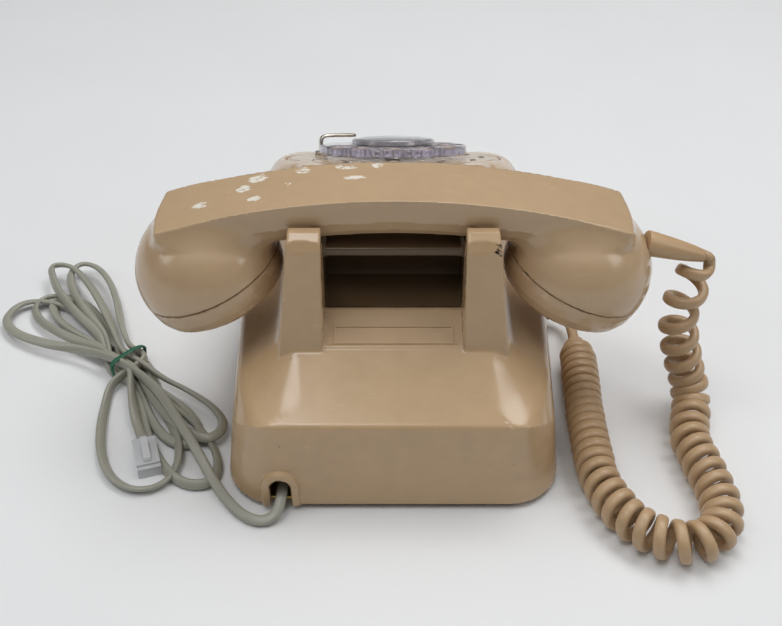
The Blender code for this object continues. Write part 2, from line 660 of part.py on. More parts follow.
def make_switch():
    top = SADDLE_Z + 0.0006
    for name, side in (("hook_plunger_left", -1), ("hook_plunger_right", 1)):
        plunger = turned(name, [(0.0, top), (PLUNGER_RADIUS - 0.0010, top), (PLUNGER_RADIUS, top - 0.0010),
                                (PLUNGER_RADIUS, PLUNGER_LOW), (0.0, PLUNGER_LOW)], 16)
        plunger.location = (side * PLUNGER_X, HANDSET_Y, 0.0)
        link(plunger, (0.75, 0.73, 0.68), 0.3)
    bar = LEVER_BAR_Z - LEVER_PIVOT[2]
    reach = HANDSET_Y - LEVER_PIVOT[1]
    middle = -LEVER_PIVOT[0]
    end = PLUNGER_X + 0.004
    lever = bake(tube("hookswitch_lever", [(middle - end, reach, bar), (middle + end, reach, bar)], LEVER_BAR_RADIUS))
    arm = bake(tube("lever_arm", [(0.0, 0.0, 0.0), (0.0, reach * 0.5, 0.0010), (0.0, reach, bar)], 0.0015))
    hub = cylinder("lever_hub", 0.0030, 0.006, (0, 0, 0), axis="X", sides=16)
    for tool in (arm, hub):
        boolean(lever, tool, "UNION")
        tool.parent = lever
    lever.location = LEVER_PIVOT
    link(lever, STEEL, 0.3, 1.0)
    height = LEVER_PIVOT[2] - 0.0034 - INSIDE_Z
    bracket = box("hookswitch_bracket", (0.010, 0.012, height),
                  (LEVER_PIVOT[0], LEVER_PIVOT[1] + 0.001, INSIDE_Z + height / 2))
    foot = box("bracket_foot", (0.030, 0.016, 0.0016),
               (LEVER_PIVOT[0], LEVER_PIVOT[1] - 0.004, INSIDE_Z + 0.0008))
    boolean(bracket, foot, "UNION")
    link(bracket, STEEL, 0.4, 1.0)
    stack = box("switch_springs", (0.007, 0.034, 0.0016),
                (LEVER_PIVOT[0] + 0.0090, LEVER_PIVOT[1] - 0.012, 0.0300))
    for i in range(3):
        leaf = box(f"spring_leaf_{i}", (0.007, 0.034 - 0.002 * i, 0.0008),
                   (LEVER_PIVOT[0] + 0.0090, LEVER_PIVOT[1] - 0.012 + 0.001 * i, 0.0335 + 0.0030 * i))
        boolean(stack, leaf, "UNION")
    block = box("spring_block", (0.007, 0.008, 0.014), (LEVER_PIVOT[0] + 0.0090, LEVER_PIVOT[1] + 0.001, 0.0352))
    boolean(stack, block, "UNION")
    link(stack, SPRING_BRASS, 0.3, 1.0)


make_switch()


# ---------------------------------------------------------------- dial
FACE_LOW = -FACE_SEAT_DEPTH + GAP
FACE_HIGH = FACE_LOW + FACE_THICK
WHEEL_LOW = WHEEL_LIFT
WHEEL_HIGH = WHEEL_LOW + WHEEL_THICK
PINION_RADIUS = GEAR_RADIUS * PINION_TEETH / GEAR_TEETH
PINION_DISTANCE = GEAR_RADIUS + PINION_RADIUS + 0.0004
GEAR_LOW = -0.0115
SHAFT_STEP = 0.0008          # the shaft is thinner where the gear sits
SHAFT_STEP_Z = -0.0096
STOP_CIRCLE = 0.0456         # finger stop's post
SPINDLE_RADIUS = 0.0012      # governor's spindle
CARD_EDGE = 0.0012           # the card is this much smaller than its holder
HOLDER_THICK = 0.0016
CARD_THICK = 0.0004
GEAR_THICK = 0.0015
FRAME_HIGH = -0.0045
FRAME_REAR = -0.0220
FRAME_THICK = 0.0015


def gear_outline(teeth, pitch_radius, turn):
    """A gear's outline: slim teeth with straight flanks."""
    addendum = pitch_radius / teeth * 2 * 0.75
    points = []
    for i in range(teeth):
        middle = turn + 2 * math.pi * i / teeth
        pitch = 2 * math.pi / teeth
        for share, reach in ((-0.30, -addendum), (-0.12, addendum), (0.12, addendum), (0.30, -addendum)):
            radius = pitch_radius + reach
            angle = middle + share * pitch
            points.append((radius * math.cos(angle), radius * math.sin(angle)))
    return points


def make_dial():
    face = turned("dial_face", [(SHAFT_RADIUS + 0.001, FACE_HIGH - 0.0002), (WHEEL_RADIUS, FACE_HIGH - 0.0002),
                                (FACE_RADIUS - 0.001, FACE_HIGH), (FACE_RADIUS, FACE_HIGH - 0.0005),
                                (FACE_RADIUS, FACE_LOW), (SHAFT_RADIUS + 0.001, FACE_LOW)], 48)
    link(face, (0.50, 0.40, 0.28), 0.35, parent=dial_frame_empty)
    frame = cylinder("dial_frame", 0.040, FRAME_THICK, (0, 0, FRAME_HIGH - FRAME_THICK / 2), sides=32)
    for i in range(3):
        angle = math.radians(30 + 120 * i)
        x, y = 0.032 * math.cos(angle), 0.032 * math.sin(angle)
        boolean(frame, cylinder(f"frame_pillar_{i}", 0.0022, FRAME_HIGH - FRAME_REAR - 0.0006,
                                (x, y, (FRAME_HIGH + FRAME_REAR) / 2 - 0.0006), sides=10), "UNION")
    for i, angle in enumerate((45, 225)):
        x, y = 0.046 * math.cos(math.radians(angle)), 0.046 * math.sin(math.radians(angle))
        tab = box(f"frame_tab_{i}", (0.016, 0.012, FRAME_THICK), (0, 0, 0))
        tab.matrix_world = Matrix.Translation((x * 0.93, y * 0.93, FRAME_HIGH - FRAME_THICK / 2)) @ \
            Matrix.Rotation(math.radians(angle), 4, "Z")
        boolean(frame, tab, "UNION")
    rear = cylinder("frame_rear", 0.035, FRAME_THICK, (0, 0, FRAME_REAR), sides=24)
    boolean(frame, rear, "UNION")
    shaft_hole = cylinder("frame_shaft_hole", SHAFT_RADIUS + RUN_GAP, 0.060, (0, 0, FRAME_REAR), sides=20)
    boolean(frame, shaft_hole)
    governor_hole = cylinder("frame_governor_hole", SPINDLE_RADIUS + RUN_GAP, 0.060, (0, PINION_DISTANCE, FRAME_REAR),
                             sides=12)
    boolean(frame, governor_hole)
    for tool in [m.object for m in frame.modifiers]:
        tool.parent = frame
    link(frame, STEEL, 0.4, 1.0, dial_frame_empty)
    shaft = turned("dial_shaft", [(0.0, WHEEL_HIGH), (SHAFT_RADIUS, WHEEL_HIGH), (SHAFT_RADIUS, SHAFT_STEP_Z),
                                  (SHAFT_RADIUS - SHAFT_STEP, SHAFT_STEP_Z), (SHAFT_RADIUS - SHAFT_STEP, FRAME_REAR - 0.003),
                                  (0.0, FRAME_REAR - 0.003)], 20)
    link(shaft, STEEL, 0.3, 1.0, dial_frame_empty)
    gear = prism("main_gear", gear_outline(GEAR_TEETH, GEAR_RADIUS, math.pi / 2), GEAR_LOW, GEAR_LOW + GEAR_THICK)
    boolean(gear, cylinder("gear_bore", SHAFT_RADIUS - SHAFT_STEP + GAP, 0.01, (0, 0, GEAR_LOW), sides=20))
    gear.modifiers[0].object.parent = gear
    link(gear, BRASS, 0.3, 1.0, dial_frame_empty)
    pinion = prism("governor", gear_outline(PINION_TEETH, PINION_RADIUS, -math.pi / 2 + math.pi / PINION_TEETH),
                   -0.0120, -0.0095)
    spindle = cylinder("governor_spindle", SPINDLE_RADIUS, 0.0165, (0, 0, -0.0145), sides=12)
    drum = cylinder("governor_drum", 0.0075, 0.0035, (0, 0, -0.0170), sides=16)
    for tool in (spindle, drum):
        boolean(pinion, tool, "UNION")
        tool.parent = pinion
    pinion.location = (0, PINION_DISTANCE, 0)
    link(pinion, BRASS, 0.3, 1.0, dial_frame_empty)
    cup = turned("governor_cup", [(0.0105, -0.0145), (0.0105, -0.0208), (0.0020, -0.0208), (0.0020, -0.0196),
                                  (0.0090, -0.0196), (0.0090, -0.0145)][::-1], 24)
    cup.location = (0, PINION_DISTANCE, 0)
    link(cup, STEEL, 0.3, 1.0, dial_frame_empty)
    springs = box("pulse_springs", (0.006, 0.020, 0.0065), (-0.024, -0.004, -0.0170))
    link(springs, SPRING_BRASS, 0.3, 1.0, dial_frame_empty)
    wheel = turned("finger_wheel", [(WHEEL_RADIUS - 0.0008, WHEEL_HIGH), (WHEEL_RADIUS, WHEEL_HIGH - 0.0010),
                                    (WHEEL_RADIUS, WHEEL_LOW), (SHAFT_RADIUS + GAP, WHEEL_LOW),
                                    (SHAFT_RADIUS + GAP, WHEEL_HIGH)], 60)
    wheel = bake(wheel)
    for i in range(HOLE_COUNT):
        angle = STOP_ANGLE + math.radians(60) + HOLE_STEP * i
        place = (HOLE_CIRCLE * math.cos(angle), HOLE_CIRCLE * math.sin(angle), WHEEL_LOW)
        hole = cylinder(f"finger_hole_{i}", HOLE_RADIUS, 0.030, place, sides=16)
        boolean(wheel, hole)
        hole.parent = wheel
    link(wheel, CLEAR, 0.1, parent=dial_frame_empty)
    low = WHEEL_HIGH + GAP
    holder = turned("card_holder", [(0.0, low + HOLDER_THICK), (CARD_RADIUS, low + HOLDER_THICK), (CARD_RADIUS, low),
                                    (0.0, low)], 32)
    link(holder, STEEL, 0.3, 1.0, dial_frame_empty)
    card_low = low + HOLDER_THICK + GAP
    card_rim = CARD_RADIUS - CARD_EDGE
    card = turned("number_card", [(0.0, card_low + CARD_THICK), (card_rim, card_low + CARD_THICK),
                                  (card_rim, card_low), (0.0, card_low)], 32)
    link(card, (0.85, 0.85, 0.82), 0.6, parent=dial_frame_empty)
    window_low = card_low + CARD_THICK + GAP
    window = turned("card_window", [(0.0, window_low + 0.0014), (CARD_RADIUS * 0.6, window_low + 0.0012),
                                    (CARD_RADIUS + 0.0004, window_low + 0.0004), (CARD_RADIUS + 0.0012, window_low - 0.0004),
                                    (CARD_RADIUS + 0.0012, low), (CARD_RADIUS + GAP, low),
                                    (CARD_RADIUS + GAP, window_low), (0.0, window_low)], 32)
    link(window, CLEAR, 0.1, parent=dial_frame_empty)
    post = (STOP_CIRCLE * math.cos(STOP_ANGLE), STOP_CIRCLE * math.sin(STOP_ANGLE))
    top = WHEEL_HIGH + 0.0034
    path = [(*post, FACE_HIGH + GAP), (*post, top - 0.002), (post[0] - 0.0007, post[1] - 0.0002, top - 0.0006),
            (post[0] - 0.002, post[1] - 0.0008, top), (post[0] - 0.010, post[1] - 0.005, top + 0.0004),
            (post[0] - 0.0185, post[1] - 0.0095, top + 0.0002)]
    stop = bake(tube("finger_stop", path, 0.0014))
    base = cylinder("stop_foot", 0.0036, 0.0020, (*post, FACE_HIGH + GAP + 0.0010), sides=16)
    boolean(stop, base, "UNION")
    base.parent = stop
    link(stop, STEEL, 0.2, 1.0, dial_frame_empty)


make_dial()


# ---------------------------------------------------------------- handset
def arch_z(x):
    return HANDSET_TOP - x * x / (2 * ARCH_RADIUS)


def handle_ring(x):
    """The handle's cross section at one place along it."""
    top = arch_z(x)
    half = HANDLE_HALF_WIDTH
    low = half - 0.0025
    end = max(0.0, (abs(x) - END_THINS_FROM) / (HANDLE_REACH - END_THINS_FROM))
    thick = HANDLE_THICK + (END_THICK - HANDLE_THICK) * end * end
    shape = [(half - 0.0010, top), (half, top - 0.0010), (half - 0.0006, top - thick * 0.54),
             (low, top - thick * 0.73), (low - 0.0022, top - thick * 0.92), (low - 0.0062, top - thick)]
    ring = [(x, HANDSET_Y + y, z) for y, z in shape]
    ring += [(x, HANDSET_Y - y, z) for y, z in reversed(shape)]
    return ring


BOWL = [(0.0, CUP_HEIGHT), (0.010, CUP_HEIGHT - 0.0012), (0.0200, CUP_HEIGHT - 0.0048),
        (0.0280, CUP_HEIGHT - 0.0115), (0.0325, CUP_HEIGHT - 0.0205), (CUP_RADIUS + 0.0003, 0.0060),
        (CUP_RADIUS, 0.0), (0.0, 0.0)]
UNIT_CLEAR = 0.0012
UNIT_HIGH = 0.012
UNIT_LOW = -0.0085
BOOT_FROM = (-0.1130, HANDSET_Y, 0.0985)
BOOT_TO = (-0.1405, HANDSET_Y, 0.0912)
BOOT_RADIUS = 0.0058


def make_handset():
    steps = 24
    places = [HANDLE_REACH * (2 * i / steps - 1) for i in range(steps + 1)]
    handle = loft("handset_handle", [handle_ring(x) for x in places])
    for side, empty in ((1, receiver_axis), (-1, transmitter_axis)):
        bowl = turned(f"bowl_{side}", BOWL, 32)
        boolean(handle, placed(bowl, empty), "UNION")
    for side, empty in ((1, receiver_axis), (-1, transmitter_axis)):
        hollow = cylinder(f"cup_hollow_{side}", UNIT_RADIUS + UNIT_CLEAR, 0.040, (0, 0, UNIT_HIGH + 0.001 - 0.020),
                          sides=32)
        boolean(handle, placed(hollow, empty))
    start, stop = Vector(BOOT_FROM), Vector(BOOT_TO)
    ahead = (stop - start).normalized()
    socket = bake(tube("boot_socket", [start - ahead * 0.0008, stop], BOOT_RADIUS + 0.0005, 3))
    boolean(handle, socket)
    link(handle, BEIGE, 0.25, smooth=True)
    cap_names = (("receiver_cap", receiver_axis), ("transmitter_cap", transmitter_axis))
    rim = CUP_RADIUS
    for name, empty in cap_names:
        outer = [(rim, -GAP), (rim - 0.0004, -0.0050), (rim - 0.0022, -0.0110), (rim - 0.0058, -0.0146),
                 (rim - 0.0120, -CAP_DEPTH), (0.0, -CAP_DEPTH + 0.0006)]
        inner = [(0.0, -CAP_DEPTH + CAP_WALL), (rim - 0.0120, -CAP_DEPTH + CAP_WALL - 0.0004),
                 (rim - 0.0075, -0.0120), (rim - CAP_WALL, -0.0090), (rim - CAP_WALL, -GAP)]
        profile = inner + outer
        cap = turned(name, profile, 40)
        link(cap, BEIGE, 0.3, parent=empty, smooth=True)
    for name, empty in (("receiver_unit", receiver_axis), ("transmitter_unit", transmitter_axis)):
        unit = turned(name, [(0.0, UNIT_HIGH), (UNIT_RADIUS - 0.004, UNIT_HIGH), (UNIT_RADIUS, UNIT_HIGH - 0.004),
                             (UNIT_RADIUS, UNIT_LOW + 0.0015), (UNIT_RADIUS - 0.0015, UNIT_LOW), (0.0, UNIT_LOW)], 24)
        link(unit, STEEL, 0.35, 1.0, empty)
    boot = cylinder("handset_boot", BOOT_RADIUS, (stop - start).length, (0, 0, 0), sides=16,
                    top_radius=STRAND_RADIUS + 0.0004)
    boot.matrix_world = Matrix.Translation((start + stop) / 2) @ ahead.to_track_quat("Z", "Y").to_matrix().to_4x4()
    link(boot, BEIGE, 0.4, smooth=True)


make_handset()


# ---------------------------------------------------------------- cords
# middle of the curly cord: down from the boot, out over the table and back to the housing
CURLY_ROUTE = [(-0.1385, 0.0450, 0.0880), (-0.1360, 0.0450, 0.0730), (-0.1345, 0.0450, 0.0590),
               (-0.1370, 0.0450, 0.0440), (-0.1410, 0.0455, 0.0300), (-0.1455, 0.0480, 0.0170),
               (-0.1460, 0.0560, 0.0100), (-0.1435, 0.0660, 0.0090), (-0.1405, 0.0790, 0.0090),
               (-0.1420, 0.0920, 0.0090), (-0.1440, 0.1060, 0.0090), (-0.1450, 0.1180, 0.0090),
               (-0.1430, 0.1310, 0.0090), (-0.1350, 0.1400, 0.0090), (-0.1240, 0.1420, 0.0090),
               (-0.1130, 0.1380, 0.0090), (-0.1040, 0.1300, 0.0090), (-0.0975, 0.1180, 0.0090),
               (-0.0935, 0.1040, 0.0090), (-0.0930, 0.0900, 0.0090), (-0.0930, 0.0740, 0.0090),
               (-0.0935, 0.0570, 0.0090), (-0.0945, 0.0400, 0.0090), (-0.0955, 0.0230, 0.0090),
               (-0.0955, 0.0060, 0.0090)]
TAIL_ROUTE = [(-0.0955, 0.0054, 0.0092), (-0.0953, -0.0060, 0.0093), (-0.0940, -0.0135, 0.0094),
              (-0.0915, -0.0185, 0.0095), (-0.0890, -0.0200, 0.0095), (-0.0866, -0.0200, 0.0095)]
# line cord from the notch round the rear corner to the hank
LINE_ROUTE = [(0.0505, 0.1170, 0.0070), (0.0512, 0.1205, 0.0048), (0.0545, 0.1240, 0.0030),
              (0.0600, 0.1255, 0.0024), (0.0670, 0.1240, 0.0022), (0.0750, 0.1200, 0.0022),
              (0.0805, 0.1145, 0.0022), (0.0827, 0.1100, 0.0022), (0.0832, 0.1073, 0.0022)]
LOOP_ROUTE = [(0.1433, 0.0256, 0.0024), (0.1452, 0.0300, 0.0022), (0.1450, 0.0450, 0.0022),
              (0.1430, 0.0620, 0.0022), (0.1400, 0.0800, 0.0022), (0.1330, 0.0960, 0.0022),
              (0.1220, 0.1065, 0.0022), (0.1110, 0.1060, 0.0022), (0.1035, 0.1015, 0.0022),
              (0.0988, 0.0979, 0.0022)]
LEAD_ROUTE = [(0.1341, 0.0341, 0.0030), (0.1362, 0.0370, 0.0028), (0.1355, 0.0440, 0.0028),
              (0.1310, 0.0540, 0.0030), (0.1250, 0.0650, 0.0033), (0.1210, 0.0725, 0.0033),
              (0.1185, 0.0790, 0.0033)]
# outline of the tied hank, seen from above
HANK_OUTLINE = [(0.0800, 0.1060), (0.0865, 0.1075), (0.0950, 0.1020), (0.1015, 0.0930), (0.1050, 0.0800),
                (0.1080, 0.0690), (0.1150, 0.0560), (0.1270, 0.0400), (0.1400, 0.0270), (0.1520, 0.0190),
                (0.1700, 0.0080), (0.1880, -0.0060), (0.2020, -0.0190), (0.2120, -0.0310), (0.2150, -0.0440),
                (0.2110, -0.0560), (0.2060, -0.0680), (0.1980, -0.0740), (0.1860, -0.0740), (0.1760, -0.0660),
                (0.1660, -0.0460), (0.1560, -0.0220), (0.1460, -0.0010), (0.1340, 0.0110), (0.1180, 0.0180),
                (0.1030, 0.0260), (0.0920, 0.0380), (0.0860, 0.0540), (0.0820, 0.0700), (0.0785, 0.0860),
                (0.0775, 0.0990)]
TIE_PLACE = (0.1370, 0.0200)
TIE_TURN = math.radians(-42)
TIE_INNER_WIDTH = 0.0200
TIE_CUT_DEPTH = 0.004
TIE_MIDDLE_Z = 0.0059
BUSHING_OUTSIDE_X = -0.0862  # outer end of the bushing, where the handset cord goes in
BUSHING_INSIDE = 0.007       # how far the bushing reaches into the housing


def tie_matrix():
    return Matrix.Translation((*TIE_PLACE, 0.0)) @ Matrix.Rotation(TIE_TURN, 4, "Z")


def bake_boolean(obj, tool):
    """Cut an object and return the result as a plain mesh at its place."""
    link(tool)
    cut = obj.modifiers.new("cut", "BOOLEAN")
    cut.object = tool
    return bake(obj)


def make_bushing():
    side_x = half_width(BUSHING_Y, BUSHING_Z)
    inside = -side_x + BUSHING_INSIDE
    outside = min(BUSHING_OUTSIDE_X, -side_x - 0.0022)
    profile = [(BUSHING_RADIUS - 0.0002, inside), (BUSHING_RADIUS - 0.0002, -side_x - 0.0017),
               (BUSHING_RADIUS + 0.0006, -side_x - 0.0019), (BUSHING_RADIUS - 0.0008, outside), (0.0, outside),
               (0.0, inside)]
    bushing = turned("cord_bushing", [(r, -h) for r, h in profile], 20)
    bushing.rotation_euler = (0.0, -math.pi / 2, 0.0)
    bushing.location = (0.0, BUSHING_Y, BUSHING_Z)
    link(bushing, DARK, 0.6, smooth=True)


def make_cords():
    curly = tube("handset_cord", smooth_route(CURLY_ROUTE, 0.012), COIL_RADIUS - 0.0002, 2)
    link(curly, BEIGE, 0.4)
    tail = tube("handset_cord_tail", smooth_route(TAIL_ROUTE, 0.0022), STRAND_RADIUS, 2)
    link(tail, BEIGE, 0.4)
    line = tube("line_cord", smooth_route(LINE_ROUTE, 0.0045), FLAT_CORD_RADIUS, 2)
    link(line, GREY, 0.5)
    loop = tube("line_cord_loop", smooth_route(LOOP_ROUTE, 0.0055), FLAT_CORD_RADIUS, 2)
    link(loop, GREY, 0.5)
    lead = tube("plug_lead", smooth_route(LEAD_ROUTE, 0.0045), FLAT_CORD_RADIUS, 2)
    link(lead, GREY, 0.5)
    hank = prism("line_cord_hank", HANK_OUTLINE, 0.0002, HANK_HEIGHT)
    link(hank, GREY, 0.5)
    reach = 0.0150
    slot = prism("tie_path", [(-reach, -0.0010), (reach, -0.0010), (reach, 0.0130), (-reach, 0.0130)],
                 -0.0009, 0.0009, "XZ")
    slot.matrix_world = tie_matrix()
    keep = box("tie_core", (TIE_INNER_WIDTH, TIE_CUT_DEPTH, 0.0086), (0, 0, TIE_MIDDLE_Z))
    keep.matrix_world = tie_matrix()
    band_slot = bake_boolean(slot, keep)
    boolean(hank, band_slot)
    outer = box("cord_tie", (0.0230, 0.0012, 0.0114), (0, 0, 0.0060))
    outer.matrix_world = tie_matrix()
    hole = box("tie_inside", (TIE_INNER_WIDTH + 2 * GAP, TIE_CUT_DEPTH, 0.0086 + 2 * GAP), (0, 0, TIE_MIDDLE_Z))
    hole.matrix_world = tie_matrix()
    boolean(outer, hole)
    link(outer, GREEN, 0.5)


make_bushing()
make_cords()


# ---------------------------------------------------------------- plug
PLUG_PLACE = (0.1165, 0.0850, 0.0002)
PLUG_TURN = math.radians(18)
CONTACT_COUNT = 4
CONTACT_PITCH = 0.0012


def make_plug():
    empty = bpy.data.objects.new("plug_frame", None)
    empty.location = PLUG_PLACE
    empty.rotation_euler = (0.0, 0.0, PLUG_TURN)
    parts.objects.link(empty)
    half = PLUG_LENGTH / 2
    body = box("plug_body", (PLUG_WIDTH, PLUG_LENGTH, PLUG_HEIGHT), (0, 0, PLUG_HEIGHT / 2))
    step = box("plug_nose_step", (PLUG_WIDTH + 0.002, 0.004, 0.004), (0, half, PLUG_HEIGHT + 0.0008))
    boolean(body, step)
    bore = box("plug_entry", (0.0070, 0.008, 0.0042), (0, -half, 0.0033))
    boolean(body, bore)
    for i in range(CONTACT_COUNT):
        x = (i - 1.5) * CONTACT_PITCH
        slot = box(f"contact_slot_{i}", (0.0010, 0.0056, 0.0040), (x, half - 0.0040, 0.0))
        boolean(body, slot)
    for tool in [m.object for m in body.modifiers]:
        tool.parent = empty
    link(body, CLEAR, 0.15, parent=empty)
    for i in range(CONTACT_COUNT):
        x = (i - 1.5) * CONTACT_PITCH
        contact = box(f"plug_contact_{i + 1}", (0.0004, 0.0048, 0.0014), (x, half - 0.0040, 0.0011))
        link(contact, BRASS, 0.25, 1.0, empty)
    latch = prism("plug_latch", [(0.0, 0.0), (-0.0135, 0.0022), (-0.0135, 0.0034), (-0.0008, 0.0013)],
                  -0.0016, 0.0016, "YZ")
    latch.location = (0.0, half - 0.0035, PLUG_HEIGHT + GAP)
    link(latch, CLEAR, 0.15, parent=empty)


make_plug()
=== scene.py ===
import bpy, bmesh
import math
import numpy as np
import openvdb
from mathutils import Matrix, Vector, noise


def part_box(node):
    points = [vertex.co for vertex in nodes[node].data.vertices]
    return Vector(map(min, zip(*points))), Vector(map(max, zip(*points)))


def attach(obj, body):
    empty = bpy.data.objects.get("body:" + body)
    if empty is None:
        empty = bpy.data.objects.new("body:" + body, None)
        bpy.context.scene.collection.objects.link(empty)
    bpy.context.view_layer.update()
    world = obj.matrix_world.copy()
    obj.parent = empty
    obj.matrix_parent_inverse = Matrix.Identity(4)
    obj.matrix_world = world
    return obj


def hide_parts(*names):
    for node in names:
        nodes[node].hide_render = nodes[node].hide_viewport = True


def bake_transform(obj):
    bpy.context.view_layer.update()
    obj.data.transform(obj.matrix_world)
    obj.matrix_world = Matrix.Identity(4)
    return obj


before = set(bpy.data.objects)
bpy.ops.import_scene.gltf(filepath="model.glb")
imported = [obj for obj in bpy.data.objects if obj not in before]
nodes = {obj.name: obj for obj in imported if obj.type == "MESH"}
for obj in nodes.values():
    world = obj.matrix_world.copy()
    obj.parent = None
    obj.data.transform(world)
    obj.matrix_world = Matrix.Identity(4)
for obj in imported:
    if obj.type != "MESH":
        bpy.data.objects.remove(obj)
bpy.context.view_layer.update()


# ---- camera, floor and light

cameraSetup = {"place": (0.0011, 0.4433, 0.3675), "downTilt": 37.8, "lens": 49.27}


def makeCamera(setup):
    data = bpy.data.cameras.new("deskCamera")
    data.lens = setup["lens"]
    data.sensor_width = 36
    data.clip_start = 0.01
    camera = bpy.data.objects.new("deskCamera", data)
    camera.location = setup["place"]
    camera.rotation_euler = (math.radians(90 - setup["downTilt"]), 0, math.radians(180))
    bpy.context.scene.collection.objects.link(camera)
    bpy.context.scene.camera = camera


makeCamera(cameraSetup)
print("camera placed")


# ---- node helpers

def addNode(tree, kind, inputs=None, **settings):
    node = tree.nodes.new(kind)
    for key, value in settings.items():
        setattr(node, key, value)
    for key, value in (inputs or {}).items():
        if isinstance(value, bpy.types.NodeSocket):
            tree.links.new(value, node.inputs[key])
        else:
            node.inputs[key].default_value = value
    return node


def calc(tree, operation, *values):
    return addNode(tree, "ShaderNodeMath", dict(enumerate(values)), operation=operation).outputs[0]


def vectorCalc(tree, operation, *values):
    inputs = dict(enumerate(values))
    return addNode(tree, "ShaderNodeVectorMath", inputs, operation=operation).outputs[0]


def ownPlace(tree):
    return addNode(tree, "ShaderNodeTexCoord").outputs["Object"]


def noiseOn(tree, place, scale, detail, **more):
    inputs = {"Vector": place, "Scale": scale, "Detail": detail, **more}
    return addNode(tree, "ShaderNodeTexNoise", inputs).outputs["Fac"]


def spread(tree, value, low, high, toLow=0.0, toHigh=1.0):
    inputs = {"Value": value, "From Min": low, "From Max": high, "To Min": toLow, "To Max": toHigh}
    return addNode(tree, "ShaderNodeMapRange", inputs).outputs["Result"]


def tint(tree, factor, first, second):
    node = addNode(tree, "ShaderNodeMix", data_type="RGBA")
    for socket, value in ((node.inputs[0], factor), (node.inputs[6], first), (node.inputs[7], second)):
        if isinstance(value, bpy.types.NodeSocket):
            tree.links.new(value, socket)
        else:
            socket.default_value = value
    return node.outputs[2]


def linear(red, green, blue):
    def channel(value):
        value = value / 255
        return value / 12.92 if value <= 0.04045 else ((value + 0.055) / 1.055) ** 2.4
    return (channel(red), channel(green), channel(blue), 1.0)


def newGroup(name, inputs, outputs):
    group = bpy.data.node_groups.new(name, "ShaderNodeTree")
    for label, value in inputs.items():
        kind = "NodeSocketColor" if hasattr(value, "__len__") and len(value) == 4 else "NodeSocketFloat"
        kind = "NodeSocketVector" if hasattr(value, "__len__") and len(value) == 3 else kind
        socket = group.interface.new_socket(name=label, in_out="INPUT", socket_type=kind)
        socket.default_value = value
    for label, kind in outputs.items():
        group.interface.new_socket(name=label, in_out="OUTPUT", socket_type=kind)
    return group, group.nodes.new("NodeGroupInput"), group.nodes.new("NodeGroupOutput")


lookOutputs = {"Colour": "NodeSocketColor", "Roughness": "NodeSocketFloat", "Height": "NodeSocketFloat"}


def makeAgedPlastic():
    # mottled colour, dust specks, fine scratches and a hint of orange peel
    group, given, result = newGroup(
        "agedPlastic",
        {"Colour": (0.5, 0.4, 0.3, 1.0), "Mottle": 0.06, "Specks": 0.5, "Scratches": 0.3, "Gloss": 0.25,
         "Shift": 0.0},
        lookOutputs)
    place = ownPlace(group)
    moved = vectorCalc(group, "ADD", place, given.outputs["Shift"])
    broad = noiseOn(group, moved, 22.0, 3.0)
    cloud = noiseOn(group, moved, 140.0, 4.0)
    mottle = calc(group, "ADD", calc(group, "SUBTRACT", broad, 0.5), calc(group, "SUBTRACT", cloud, 0.5))
    mottle = calc(group, "MULTIPLY", mottle, given.outputs["Mottle"])
    shade = calc(group, "ADD", 1.0, calc(group, "MULTIPLY", mottle, 3.0))
    base = vectorCalc(group, "MULTIPLY", given.outputs["Colour"], shade)
    cells = addNode(group, "ShaderNodeTexVoronoi", {"Vector": moved, "Scale": 120.0, "Randomness": 1.0})
    speckSize = noiseOn(group, moved, 45.0, 1.0)
    speck = calc(group, "LESS_THAN", cells.outputs["Distance"],
                 spread(group, speckSize, 0.6, 0.85, 0.0, 0.10))
    speck = calc(group, "MULTIPLY", speck, given.outputs["Specks"])
    dirty = tint(group, speck, base, (0.035, 0.022, 0.012, 1.0))
    along = addNode(group, "ShaderNodeMapping",
                    {"Vector": moved, "Rotation": (0.4, 0.9, 0.6), "Scale": (1.0, 14.0, 9.0)})
    streak = noiseOn(group, along.outputs[0], 60.0, 5.0, Roughness=0.7)
    scratch = calc(group, "MULTIPLY", spread(group, streak, 0.66, 0.70), given.outputs["Scratches"])
    worn = tint(group, calc(group, "MULTIPLY", scratch, 0.25), dirty, (0.75, 0.68, 0.58, 1.0))
    rough = calc(group, "ADD", given.outputs["Gloss"],
                 calc(group, "MULTIPLY", spread(group, cloud, 0.35, 0.75), 0.10))
    rough = calc(group, "ADD", rough, calc(group, "MULTIPLY", scratch, 0.25))
    ripple = noiseOn(group, moved, 260.0, 1.0)
    group.links.new(worn, result.inputs["Colour"])
    group.links.new(rough, result.inputs["Roughness"])
    group.links.new(calc(group, "SUBTRACT", ripple, calc(group, "MULTIPLY", scratch, 0.4)),
                    result.inputs["Height"])
    return group


agedPlastic = makeAgedPlastic()


def startMaterial(name):
    material = bpy.data.materials.new(name)
    material.use_nodes = True
    return material, material.node_tree, material.node_tree.nodes["Principled BSDF"]


def useBump(tree, shader, height, strength, distance):
    inputs = {"Height": height, "Strength": strength, "Distance": distance}
    tree.links.new(addNode(tree, "ShaderNodeBump", inputs).outputs[0], shader.inputs["Normal"])


def useLook(tree, shader, group, values):
    # a finish's group, placed with its own values
    look = addNode(tree, "ShaderNodeGroup", node_tree=group)
    for label, value in values.items():
        look.inputs[label].default_value = value
    tree.links.new(look.outputs["Colour"], shader.inputs["Base Color"])
    tree.links.new(look.outputs["Roughness"], shader.inputs["Roughness"])
    return look.outputs["Height"]


